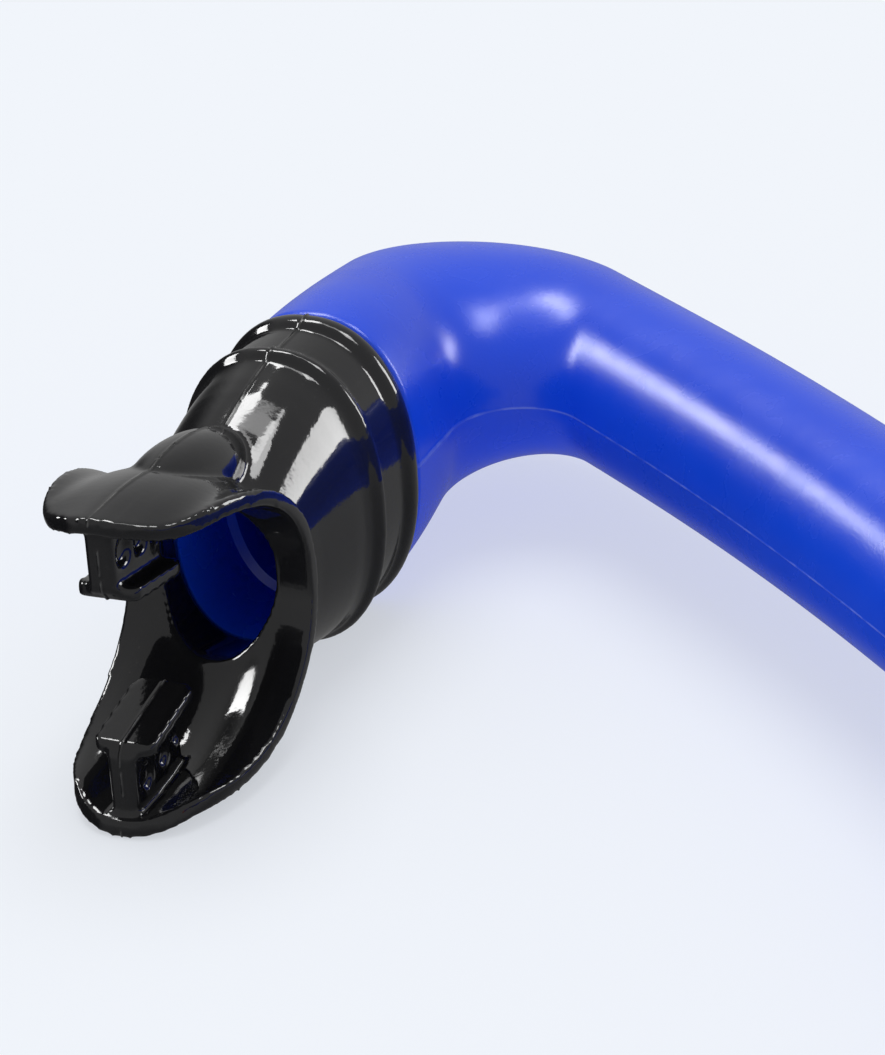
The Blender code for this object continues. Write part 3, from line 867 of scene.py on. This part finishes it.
    def tube_rings(self, inset: float, line: float) -> list[Ring]:
        """Sections from the shoulder to the top rim, inset from the outer skin."""
        stations = self.stations()
        centres = [(inner + outer) / 2.0 for inner, outer in stations]
        rings = []
        travelled = 0.0
        for index, (inner, outer) in enumerate(stations):
            if index:
                travelled += (centres[index] - centres[index - 1]).length
            across = (inner - outer).normalized()
            ahead, behind = centres[min(index + 1, len(centres) - 1)], centres[max(index - 1, 0)]
            squareness = max(across.cross((ahead - behind).normalized()).length, 0.5)
            share = smooth(travelled / self.oval_blend)
            half = (
                (inner - outer).length / 2.0 - inset / squareness,
                mixed(self.oval[1], self.tube_radius, share) - inset,
            )
            power = mixed(self.oval_power, 2.0, share)
            rings.append(self.ring(centres[index], across, half, power, line))
        return rings

    def spigot_half(self, distance: float, inset: float) -> tuple[float, float]:
        """Half sizes of the tapering spigot, less an inset."""
        share = (distance - self.shoulder) / (self.spigot_end - self.shoulder)
        across = mixed(self.spigot_root[0], self.spigot_tip[0], share) - inset
        return across, mixed(self.spigot_root[1], self.spigot_tip[1], share) - inset

    def spigot_rings(self) -> list[Ring]:
        """The spigot's outside, from its rounded end to the shoulder."""
        end, lip = self.spigot_end, self.spigot_lip
        profile = [(end, lip), (end - 0.25 * lip, 0.3 * lip), (end - lip, 0.0)]
        for middle in reversed(self.grip_rings):
            for turn in spread(-math.pi / 2.0, math.pi / 2.0, 6):
                place = middle - self.grip_half * math.sin(turn)
                profile.append((place, -self.grip_rise * math.cos(turn)))
        profile.append((self.shoulder, 0.0))
        return [self.mouth_ring(place, self.spigot_half(place, inset)) for place, inset in profile]

    def build(self) -> bpy.types.Object:
        """Models the barrel as one closed skin, outside and bore."""
        skin = self.spigot_rings()
        outside = self.tube_rings(0.0, self.mould_line_rise)
        edge = self.shoulder_edge
        skin.append(self.mouth_ring(self.shoulder, (self.oval[0] - edge, self.oval[1] - edge)))
        skin.append([point + Vector((0.0, edge, 0.0)) for point in outside[0]])
        skin += outside[1:-1]
        lip = self.rim_lip
        top_way = self.leg(self.leg_length)[1]
        rounding = ((0.0, lip), (0.15 * lip, 0.4 * lip), (0.5 * lip, 0.1 * lip), (lip, 0.0))
        for inset, back in rounding:
            top = self.tube_rings(inset, 0.0)[-1]
            skin.append([point - top_way * back for point in top])
        bore = self.tube_rings(self.wall, 0.0)
        for inset, back in ((-0.4 * lip, 0.0), (0.0, 0.5 * lip)):
            top = self.tube_rings(self.wall + inset, 0.0)[-1]
            skin.append([point - top_way * back for point in top])
        skin += list(reversed(bore[2:-1]))
        thick, thin = self.spigot_wall, self.spigot_wall - self.bore_step
        for place, inset in (
            (self.shoulder - 0.5 * MM, thick),
            (8.0 * MM, thick),
            (8.6 * MM, thin),
            (self.spigot_end - 0.3 * MM, thin),
            (self.spigot_end, thin - 0.2 * MM),
        ):
            skin.append(self.mouth_ring(place, self.spigot_half(place, inset)))
        made = Bench.skin("barrel_tube", skin, closed=True)
        self.mark_line(made)
        Bench.soften(made, 50.0)
        return made

    def mark_line(self, made: bpy.types.Object) -> None:
        """Stores where the mould line runs over the outer sections, as a mask from 0 to 1."""
        angles = self.angles()
        first = len(self.spigot_rings())
        outer = range(first, first + len(self.stations()))
        places = [item.value for item in made.data.attributes[PLACE_MARK].data]
        values = []
        for place in places:
            section, point = divmod(place, len(angles))
            on_line = self.off_line(angles[point]) < 0.5 * self.line_edge
            values.append(1.0 if section in outer and on_line else 0.0)
        made.data.attributes.new(LINE_MARK, "FLOAT", "POINT").data.foreach_set("value", values)

    def finish(self) -> bpy.types.Object:
        """Builds and dresses the barrel."""
        return self.dress(self.build(), BARREL_BLUE, Body.BARREL, [Node.BARREL], Slot.BLUE)


@dataclass
class Mouthpiece(Piece):
    """One soft moulding: collar with two beads, body, lip flange, ridges and bite tabs."""

    barrel: Barrel
    gap: float = 0.3 * MM
    oval_power: float = 2.25
    collar: tuple[float, float] = (12.9 * MM, 19.3 * MM)
    rear_bead: tuple[float, float, float] = (0.0, 1.8 * MM, 1.0 * MM)
    front_bead: tuple[float, float, float] = (10.2 * MM, 1.3 * MM, 0.95 * MM)
    body: tuple[tuple[float, float, float], ...] = (
        (13.5, 12.5, 18.9),
        (16.0, 12.35, 18.5),
        (19.0, 12.1, 17.9),
        (22.0, 11.85, 17.1),
        (25.0, 11.6, 16.2),
        (28.0, 11.45, 15.1),
        (31.0, 11.3, 14.0),
        (37.0, 11.0, 12.9),
    )
    throat_back: tuple[float, float] = (9.0 * MM, 13.8 * MM)
    throat_front: tuple[float, float] = (7.0 * MM, 11.2 * MM)
    throat_front_at: float = 33.0 * MM
    throat_run_out: float = 5.0 * MM
    socket_run_out: float = 2.0 * MM
    thickness: float = 2.1 * MM
    waist: float = 29.4 * MM
    level: float = 57.0 * MM
    tip: float = 62.0 * MM
    rise: float = 18.2 * MM
    bow_power: float = 2.15
    half_width: float = 12.5 * MM
    taper: tuple[float, float, float] = (30.0 * MM, 3.0, 0.45)
    arch: float = 1.5 * MM
    arch_rise: tuple[float, float] = (5.0 * MM, 9.0 * MM)
    valley: float = 0.3
    valley_start: float = 0.35
    lobe_crest: float = 0.75
    tip_open: float = 0.1 * MM
    room_side: float = 0.15 * MM
    room_lift: float = 0.1 * MM
    room_margin: float = 4.0 * MM
    room_ahead: float = 8.0 * MM
    web_front: float = 60.4 * MM
    web_back: float = 47.6 * MM
    web_width: float = 3.5 * MM
    plate: tuple[float, float, float] = (13.0 * MM, 7.9 * MM, 1.8 * MM)
    plate_front: tuple[float, float] = (59.7 * MM, 9.45 * MM)
    plate_tilt: float = math.radians(9.3)
    plate_corner: float = 1.3 * MM
    recesses: tuple[tuple[float, float, float], ...] = (
        (57.2, 14.8, 1.75),
        (52.8, 14.2, 1.6),
        (49.0, 13.6, 1.3),
    )
    recess_depth: float = 0.7 * MM
    ridge_centre: tuple[float, float] = (36.5 * MM, 14.6 * MM)
    ridge_halves: tuple[float, float, float] = (5.4 * MM, 13.5 * MM, 5.0 * MM)
    ridge_lean: float = math.radians(9.0)
    voxel: float = 0.39 * MM
    relax: int = 6
    flash_half: float = 0.2 * MM
    flash_rise: float = 0.22 * MM
    flash_reach: float = 0.02 * MM
    flash_unevenness: tuple[float, float, float] = (0.25, 0.9 * MM, 2.3 * MM)
    flash_clear: tuple[float, float] = (3.0 * MM, 1.5 * MM)
    flash_inner_height: float = 12.0 * MM
    section_points: int = 96

    def oval_ring(self, distance: float, half: tuple[float, float]) -> Ring:
        """A superellipse section across the mouthpiece's axis."""
        points = []
        for step in range(self.section_points):
            angle = math.tau * step / self.section_points
            across, up = superellipse(angle, *half, self.oval_power)
            points.append(Vector((across, -distance, up)))
        return points

    def body_solid(self) -> bpy.types.Object:
        """Collar, beads and tapering body, capped at both ends."""
        rings = []
        for place, half_width, height in (self.rear_bead, self.front_bead):
            for angle in spread(0.0, math.pi, 12):
                rise = height * math.sin(angle)
                half = (self.collar[0] + rise, self.collar[1] + rise)
                rings.append(self.oval_ring(place - half_width * math.cos(angle), half))
        for place, across, up in self.body:
            rings.append(self.oval_ring(place * MM, (across * MM, up * MM)))
        return Bench.skin("mouthpiece_moulding", rings)

    def throat_solid(self) -> bpy.types.Object:
        """The room inside: the collar's socket and the oval throat to the flange."""
        back = self.rear_bead[0] - self.rear_bead[1] - self.socket_run_out
        stop = self.barrel.spigot_end + self.gap
        rings = []
        for place in (back, stop):
            rings.append(self.oval_ring(place, self.barrel.spigot_half(place, -self.gap)))
        rings.append(self.oval_ring(stop, self.throat_back))
        rings.append(self.oval_ring(self.throat_front_at, self.throat_front))
        run_out = self.throat_front_at + self.throat_run_out
        rings.append(self.oval_ring(run_out, self.throat_front))
        return Bench.skin("throat_room", rings)

    def flange_line(self) -> list[tuple[float, float, Vector]]:
        """Distance, height and outward normal down the flange's middle, from bow to tip."""
        line = []
        power = 2.0 / self.bow_power
        for angle in spread(0.0, math.pi / 2.0, 30):
            reach = (self.level - self.waist) * math.cos(angle) ** power
            line.append((self.level - reach, self.rise * math.sin(angle) ** power))
        for share in (0.15, 0.3, 0.45, 0.6, 0.72, 0.82, 0.9, 0.96, 1.0):
            line.append((mixed(self.level, self.tip, share), self.rise))
        made = []
        for index, (distance, height) in enumerate(line):
            before, after = line[max(index - 1, 0)], line[min(index + 1, len(line) - 1)]
            run = (after[0] - before[0]) if index else 0.0
            climb = after[1] - before[1]
            length = math.hypot(run, climb)
            made.append((distance, height, Vector((0.0, climb / length, run / length))))
        return made

    def width_at(self, distance: float) -> float:
        """Half width of the flange, from the bow to the round end of a lobe."""
        start, power, root = self.taper
        past = max(distance - start, 0.0) / (self.tip + self.tip_open - start)
        return self.half_width * (1.0 - past**power) ** root

    def lobe_profile(self, share: float) -> float:
        """How far a lobe stands out: 1 in its middle, 0 at its rim, less in the valleys."""
        share = min(abs(share), 1.0)
        past = (share - self.valley_start) / (1.0 - self.valley_start)
        dip = math.sin(math.pi * min(max(past, 0.0), 1.0)) ** 2
        return 1.0 - smooth(share / self.lobe_crest) - self.valley * dip

    def flange_rows(self, lift: float, margin: float = 0.0) -> list[Ring]:
        """Points across the flange, from one tip round the bow to the other.

        Args:
            lift: How far the points lie outside the middle surface.
            margin: If set, a straight column is added this far past the widest place.

        Returns:
            Rows of points.
        """
        half = self.flange_line()
        line = [(d, -h, Vector((0.0, n.y, -n.z))) for d, h, n in reversed(half[1:])] + half
        shares = spread(-1.0, 1.0, 28)
        rows = []
        for distance, height, normal in line:
            width = self.width_at(distance) + (self.room_side if margin else 0.0)
            start, run = self.arch_rise
            arch = self.arch * smooth((abs(height) - start) / run)
            columns = [
                (share * width, arch * self.lobe_profile(share * width / self.half_width))
                for share in shares
            ]
            if margin:
                edge = self.half_width + margin
                columns = [(-edge, 0.0)] + columns + [(edge, 0.0)]
            rows.append(
                [Vector((t, -distance, height)) + normal * (out + lift) for t, out in columns]
            )
        return rows

    def flange_solid(self) -> bpy.types.Object:
        """The bowed flange: a grid laid over both lobes and given its thickness."""
        rows = self.flange_rows(0.0)
        Bench.clear()
        bpy.ops.mesh.primitive_grid_add(
            x_subdivisions=len(rows[0]) - 1, y_subdivisions=len(rows) - 1, size=1.0
        )
        made = Bench.added("lip_flange")
        for vertex, point in zip(made.data.vertices, (point for row in rows for point in row)):
            vertex.co = point
        Bench.add_modifier(made, "SOLIDIFY", thickness=self.thickness, offset=0.0)
        Bench.face_out(made)
        return made

    def mouth_room(self) -> bpy.types.Object:
        """The room between the lobes, which trims the body and ridges inside the flange."""
        ahead = self.tip + self.room_ahead
        lift = self.room_lift - self.thickness / 2.0
        slices = []
        for column in zip(*self.flange_rows(lift, self.room_margin)):
            ends = [Vector((end.x, -ahead, end.z)) for end in (column[-1], column[0])]
            slices.append(list(column) + ends)
        return Bench.skin("mouth_room", slices)

    def ridge_solid(self, side: Side) -> bpy.types.Object:
        """The rounded rib between a lobe and the body."""
        Bench.clear()
        bpy.ops.mesh.primitive_uv_sphere_add(segments=64, ring_count=32, radius=1.0)
        made = Bench.added(f"lobe_ridge_{side.name.lower()}")
        lean = Matrix.Rotation(-side.value * self.ridge_lean, 4, "X")
        distance, height = self.ridge_centre
        place = Matrix.Translation((0.0, -distance, side.value * height))
        return Bench.place(made, place @ lean @ Matrix.Diagonal((*self.ridge_halves, 1.0)))

    def web_solid(self, side: Side) -> bpy.types.Object:
        """The web that carries a bite plate."""
        distance, height = self.plate_front
        middle = height + self.plate[2] / 2.0
        lean = math.tan(self.plate_tilt)
        made = Bench.block(
            "web",
            (-self.web_width / 2.0, -self.web_front, 0.0),
            (self.web_width / 2.0, -self.web_back, 1.0),
        )
        for vertex in made.data.vertices:
            place = -vertex.co.y
            inner = middle + (place - distance) * lean
            outer = self.rise + (self.arch / 2.0 if place > self.level else 0.0)
            vertex.co.z = side.value * (outer if vertex.co.z > 0.5 else inner)
        Bench.face_out(made)
        return made

    def plate_solid(self, side: Side) -> bpy.types.Object:
        """A bite plate: a block with rounded corners, tilted like its lobe."""
        length, width, thickness = self.plate
        made = Bench.block("plate", (-width / 2.0, 0.0, 0.0), (width / 2.0, length, thickness))
        Bench.round_edges(made, self.plate_corner, lambda way: abs(way.z) > 0.9)
        distance, height = self.plate_front
        flip = Matrix.Diagonal((1.0, 1.0, side.value, 1.0))
        turn = Matrix.Rotation(-side.value * self.plate_tilt, 4, "X")
        place = Matrix.Translation((0.0, -distance, side.value * height))
        Bench.place(made, place @ turn @ flip)
        Bench.face_out(made)
        return made

    def recess_solid(
        self, side: Side, face: int, recess: tuple[float, float, float]
    ) -> bpy.types.Object:
        """A round recess in one face of a web."""
        distance, height, radius = (value * MM for value in recess)
        Bench.clear()
        depth = 2.0 * self.recess_depth
        bpy.ops.mesh.primitive_cylinder_add(vertices=40, radius=radius, depth=depth)
        made = Bench.added("recess")
        turn = Matrix.Rotation(math.pi / 2.0, 4, "Y")
        place = Matrix.Translation((face * self.web_width / 2.0, -distance, side.value * height))
        return Bench.place(made, place @ turn)

    def build(self) -> bpy.types.Object:
        """Joins and cuts the solids, then remoulds them into one soft skin."""
        made = self.body_solid()
        for side in Side:
            Bench.combine(made, self.ridge_solid(side), "UNION")
        Bench.combine(made, self.mouth_room(), "DIFFERENCE")
        Bench.combine(made, self.flange_solid(), "UNION")
        Bench.combine(made, self.throat_solid(), "DIFFERENCE")
        for side in Side:
            Bench.combine(made, self.web_solid(side), "UNION")
            Bench.combine(made, self.plate_solid(side), "UNION")
            for face in (-1, 1):
                for recess in self.recesses:
                    Bench.combine(made, self.recess_solid(side, face, recess), "DIFFERENCE")
        Bench.remould(made, self.voxel, self.relax)
        self.raise_flash(made)
        Bench.soften(made, 60.0)
        return made

    def raise_flash(self, made: bpy.types.Object) -> None:
        """Raises the thin flash of the mould along the middle plane, outside only."""
        Bench.pick(made)
        bpy.ops.object.mode_set(mode="EDIT")
        for across in (-self.flash_half, 0.0, self.flash_half):
            bpy.ops.mesh.select_all(action="SELECT")
            bpy.ops.mesh.bisect(plane_co=(across, 0.0, 0.0), plane_no=(1.0, 0.0, 0.0))
        bpy.ops.object.mode_set(mode="OBJECT")
        swing, short, long = self.flash_unevenness
        along, over = self.flash_clear
        values = [0.0] * len(made.data.vertices)
        normals = [vertex.normal.copy() for vertex in made.data.vertices]
        for index, vertex in enumerate(made.data.vertices):
            if abs(vertex.co.x) > self.flash_reach:
                continue
            distance, height = -vertex.co.y, abs(vertex.co.z)
            inward = normals[index].z * vertex.co.z < 0.0
            before_bow = distance < self.throat_front_at + along
            in_throat = before_bow and height < self.throat_back[1] + over
            if in_throat or (inward and height > self.flash_inner_height):
                continue
            rough = 1.0 - swing + swing * math.sin(distance / short) * math.sin(distance / long)
            vertex.co += normals[index] * self.flash_rise * rough
            values[index] = rough
        made.data.attributes.new(LINE_MARK, "FLOAT", "POINT").data.foreach_set("value", values)
        made.data.update()

    def finish(self) -> bpy.types.Object:
        """Builds and dresses the mouthpiece."""
        return self.dress(
            self.build(), MOUTHPIECE_RUBBER, Body.MOUTHPIECE, [Node.MOUTHPIECE], Slot.RUBBER
        )


@dataclass
class LegFittings(Piece):
    """The signal band, and the keeper with its turning clip, on the long leg."""

    barrel: Barrel
    gap: float = 0.3 * MM
    band_top: float = 5.0 * MM
    band_length: float = 32.0 * MM
    band_thickness: float = 0.9 * MM
    keeper_drop: float = 100.0 * MM
    sleeve_length: float = 17.0 * MM
    sleeve_thickness: float = 1.6 * MM
    sleeve_flange: tuple[float, float] = (1.9 * MM, 3.4 * MM)
    clip_thickness: float = 1.9 * MM
    clip_slot: tuple[float, float] = (27.0 * MM, 5.5 * MM)
    clip_bar: float = 2.6 * MM
    clip_depth: float = 8.0 * MM
    clip_turn: float = math.radians(140.0)
    clip_overlap: float = 0.6 * MM
    loop_corner: float = 1.6 * MM
    slot_corner: float = 1.2 * MM
    clip_voxel: float = 0.3 * MM
    clip_relax: int = 4
    groove_in: float = 3.2 * MM
    groove_depth: float = 0.25 * MM
    groove_run: float = 0.5 * MM
    edge: float = 0.4 * MM
    soft: float = 0.45 * MM
    tight: float = 0.15 * MM
    sharp: float = 0.1 * MM
    steps: int = 128

    def rounded(self, corners: Sequence[tuple[float, float, float]]) -> list[tuple[float, float]]:
        """A profile whose corners are rounded.

        Args:
            corners: Radius, height and rounding of each corner.

        Returns:
            Radius and height of each point.
        """
        points = []
        for index, (radius, height, by) in enumerate(corners):
            here = Vector((radius, height))
            if by <= 0.0:
                points.append((radius, height))
                continue
            before = Vector(corners[index - 1][:2]) - here
            after = Vector(corners[(index + 1) % len(corners)][:2]) - here
            start, end = here + before.normalized() * by, here + after.normalized() * by
            for share in spread(0.0, 1.0, 5):
                near, far = start.lerp(here, share), here.lerp(end, share)
                points.append(tuple(near.lerp(far, share)))
        return points

    def band(self) -> bpy.types.Object:
        """The bright sleeve near the top rim, with a shallow groove inside each end."""
        low = self.barrel.tube_radius + self.gap
        high, half = low + self.band_thickness, self.band_length / 2.0
        groove, depth, run = half - self.groove_in, self.groove_depth, self.groove_run
        corners = [(high, half, self.edge)]
        for place in (groove, -groove):
            corners += [
                (high, place + run, self.tight),
                (high - depth, place + 0.3 * run, self.sharp),
                (high - depth, place - 0.3 * run, self.sharp),
                (high, place - run, self.tight),
            ]
        corners += [(high, -half, self.edge), (low, -half, self.sharp), (low, half, self.sharp)]
        made = Bench.turned("signal_band_sleeve", self.rounded(corners), self.steps)
        Bench.place(made, self.barrel.leg_matrix(self.band_top + half))
        Bench.soften(made)
        return self.dress(made, BAND_ORANGE, Body.BARREL, [Node.SIGNAL_BAND], Slot.ORANGE)

    def sleeve(self) -> bpy.types.Object:
        """The spool that grips the tube and holds the clip between its two flanges."""
        low = self.barrel.tube_radius + self.gap
        hub = low + self.sleeve_thickness
        rim, half = self.barrel.tube_radius + self.sleeve_flange[1], self.sleeve_length / 2.0
        neck = half - self.sleeve_flange[0]
        soft, tight = self.soft, self.tight
        corners = [
            (rim, half, soft),
            (rim, neck, tight),
            (hub, neck, tight),
            (hub, -neck, tight),
            (rim, -neck, tight),
            (rim, -half, soft),
            (low, -half, tight),
            (low, half, tight),
        ]
        made = Bench.turned("keeper_spool", self.rounded(corners), self.steps)
        Bench.place(made, self.barrel.leg_matrix(self.keeper_drop))
        Bench.soften(made)
        nodes = [Node.KEEPER_SLEEVE]
        return self.dress(made, KEEPER_PLASTIC, Body.KEEPER_SLEEVE, nodes, Slot.KEEPER)

    def clip(self) -> bpy.types.Object:
        """The ring that turns on the spool, with the closed loop for the mask strap."""
        low = self.barrel.tube_radius + self.sleeve_thickness + 2.0 * self.gap
        high = low + self.clip_thickness
        half = self.sleeve_length / 2.0 - self.sleeve_flange[0] - self.gap
        corners = [
            (high, half, self.edge),
            (high, -half, self.edge),
            (low, -half, self.tight),
            (low, half, self.tight),
        ]
        made = Bench.turned("strap_clip_ring", self.rounded(corners), self.steps)
        reach = high - self.clip_overlap
        across, depth = self.clip_slot[0] / 2.0, self.clip_depth / 2.0
        far = reach + self.clip_slot[1] + 2.0 * self.clip_bar
        loop = Bench.block(
            "loop", (reach, -depth, -across - self.clip_bar), (far, depth, across + self.clip_bar)
        )
        Bench.round_edges(loop, self.loop_corner, lambda way: abs(way.y) > 0.9)
        slot = Bench.block(
            "slot",
            (reach + self.clip_bar, -2.0 * depth, -across),
            (reach + self.clip_bar + self.clip_slot[1], 2.0 * depth, across),
        )
        Bench.round_edges(slot, self.slot_corner, lambda way: abs(way.y) > 0.9)
        turn = Matrix.Rotation(self.clip_turn, 4, "Z")
        for solid in (loop, slot):
            Bench.place(solid, turn)
            Bench.face_out(solid)
        Bench.combine(made, loop, "UNION")
        Bench.combine(made, slot, "DIFFERENCE")
        Bench.remould(made, self.clip_voxel, self.clip_relax)
        Bench.place(made, self.barrel.leg_matrix(self.keeper_drop))
        Bench.soften(made, 60.0)
        return self.dress(made, KEEPER_PLASTIC, Body.STRAP_CLIP, [Node.STRAP_CLIP], Slot.KEEPER)


# ---- the studio ----------------------------------------------------------------------------


@dataclass(frozen=True)
class Softbox:
    """A rectangular lamp aimed at the snorkel, which shows in its gloss and lights nothing else.

    Attributes:
        name: Lamp name.
        azimuth: Where it stands, in degrees from +X towards +Y.
        elevation: Degrees over the floor.
        distance: From the target.
        size: Width and height.
        radiance: Brightness of its face.
        target: What it is aimed at.
    """

    name: str
    azimuth: float
    elevation: float
    distance: float
    size: tuple[float, float]
    radiance: float
    target: tuple[float, float, float] = (0.0, 0.0, 0.02)


def direction(azimuth: float, elevation: float) -> Vector:
    """Unit vector towards an azimuth and elevation in degrees."""
    turn, lift = math.radians(azimuth), math.radians(elevation)
    level = math.cos(lift)
    return Vector((math.cos(turn) * level, math.sin(turn) * level, math.sin(lift)))


@dataclass
class Studio:
    """Pale floor, soft light and the camera."""

    frame: SnorkelFrame
    floor_size: float = 12.0
    floor_roughness: float = 0.75
    floor_colour: tuple[float, float, float] = (0.36, 0.374, 0.395)
    floor_glow: tuple[float, float, float] = (0.535, 0.555, 0.587)
    sky: float = 0.56
    sky_in_reflections: float = 0.5
    floor_in_reflections: float = 0.4
    dark_in_reflections: float = 0.03
    dark_side: tuple[float, float] = (172.0, -5.0)
    dark_reach: tuple[float, float] = (0.6, 0.82)
    horizon: tuple[float, float] = (-0.6, 0.05)
    key: tuple[float, float, float, float] = (112.0, 74.0, 44.0, 1.3)
    boxes: tuple[Softbox, ...] = (
        Softbox("left_box", 172.0, 29.0, 1.2, (0.5, 0.22), 16.0),
        Softbox("ceiling_box", 130.0, 52.0, 1.2, (0.42, 0.2), 15.0),
        Softbox("bridge_box", 90.0, 62.0, 1.2, (0.75, 0.16), 4.0),
        Softbox("right_box", 52.0, 60.0, 1.2, (0.40, 0.3), 9.0),
        Softbox("window", 50.0, 12.0, 1.1, (0.27, 0.45), 10.0),
    )
    lens: float = 139.25
    sensor: float = 36.0
    eye: tuple[float, float, float] = (201.16 * MM, -430.49 * MM, 216.42 * MM)
    look: tuple[tuple[float, float, float], ...] = (
        (0.92854, 0.36653, -0.05897),
        (-0.10899, 0.42100, 0.90049),
        (0.35488, -0.82971, 0.43087),
    )

    def floor(self) -> None:
        """A wide pale sheet."""
        Bench.clear()
        bpy.ops.mesh.primitive_plane_add(size=self.floor_size)
        made = Bench.added("floor")
        look = bpy.data.materials.new("floor_white")
        look.use_nodes = True
        shader = look.node_tree.nodes["Principled BSDF"]
        shader.inputs["Base Color"].default_value = (*self.floor_colour, 1.0)
        shader.inputs["Roughness"].default_value = self.floor_roughness
        shader.inputs["Specular IOR Level"].default_value = 0.0
        shader.inputs["Emission Color"].default_value = (*self.floor_glow, 1.0)
        shader.inputs["Emission Strength"].default_value = 1.0
        made.data.materials.append(look)
        made.visible_glossy = False
        made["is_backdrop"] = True

    def world(self) -> None:
        """Even light from all round; a gloss mirrors it too, but for one dark side."""
        world = bpy.data.worlds.new("studio_light")
        bpy.context.scene.world = world
        world.use_nodes = True
        tree = Tree(world.node_tree)
        sky = world.node_tree.nodes["Background"]
        way = tree.add("TexCoord").outputs["Generated"]
        sides = {0: way, 1: direction(*self.dark_side)}
        facing = tree.add("VectorMath", sides, operation="DOT_PRODUCT")
        low, high = self.dark_reach
        mirror = tree.ramp(
            facing.outputs["Value"], low, high, self.sky_in_reflections, self.dark_in_reflections
        )
        height = tree.add("SeparateXYZ", {0: way}).outputs["Z"]
        under = tree.ramp(height, *self.horizon, self.floor_in_reflections, 1.0)
        mirror = tree.maths("MULTIPLY", mirror, under)
        mirrored = tree.add("LightPath").outputs["Is Glossy Ray"]
        strength = tree.add("Mix", {0: mirrored, 2: self.sky, 3: mirror}, data_type="FLOAT")
        world.node_tree.links.new(strength.outputs[0], sky.inputs["Strength"])
        sky.inputs["Color"].default_value = (1.0, 1.0, 1.0, 1.0)

    def aim(self, lamp: bpy.types.Object, target: Sequence[float]) -> None:
        """Turns a lamp towards a point."""
        lamp.rotation_euler = (Vector(target) - lamp.location).to_track_quat("-Z", "Y").to_euler()

    def lights(self) -> None:
        """The key light, which casts the shadow, and the softboxes."""
        azimuth, elevation, spread_angle, strength = self.key
        sun = bpy.data.lights.new("key_light", "SUN")
        sun.angle, sun.energy = math.radians(spread_angle), strength
        lamp = bpy.data.objects.new("key_light", sun)
        bpy.context.scene.collection.objects.link(lamp)
        lamp.location = direction(azimuth, elevation)
        lamp.visible_glossy = False
        self.aim(lamp, (0.0, 0.0, 0.0))
        for box in self.boxes:
            data = bpy.data.lights.new(box.name, "AREA")
            data.shape = "RECTANGLE"
            data.size, data.size_y = box.size
            data.energy = box.radiance * box.size[0] * box.size[1] * math.pi
            lamp = bpy.data.objects.new(box.name, data)
            bpy.context.scene.collection.objects.link(lamp)
            away = direction(box.azimuth, box.elevation) * box.distance
            lamp.location = Vector(box.target) + away
            lamp.visible_diffuse = False
            self.aim(lamp, box.target)

    def camera(self) -> None:
        """The camera: right, up and back are the rows of look, in the snorkel's frame."""
        data = bpy.data.cameras.new("camera")
        data.sensor_fit = "VERTICAL"
        data.sensor_height = data.sensor_width = self.sensor
        data.lens = self.lens
        data.clip_start = 0.01
        camera = bpy.data.objects.new("camera", data)
        bpy.context.scene.collection.objects.link(camera)
        turn = Matrix(self.look).transposed().to_4x4()
        camera.matrix_world = self.frame.matrix @ Matrix.Translation(self.eye) @ turn
        bpy.context.scene.camera = camera

    def build(self) -> None:
        """Sets up the whole studio."""
        self.floor()
        self.world()
        self.lights()
        self.camera()
        bpy.context.scene.view_settings.view_transform = "Standard"


def main() -> None:
    """Builds the snorkel and its studio."""
    logging.basicConfig(level=logging.INFO, format="%(name)s: %(message)s")
    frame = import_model()
    snorkel = SnorkelFrame.of(frame, Mouthpiece.rear_bead[1])
    Studio(snorkel).build()
    barrel = Barrel(snorkel)
    barrel.finish()
    Mouthpiece(snorkel, barrel).finish()
    fittings = LegFittings(snorkel, barrel)
    fittings.band()
    fittings.sleeve()
    fittings.clip()
    Bench.clear()


if __name__ == "__main__":
    main()
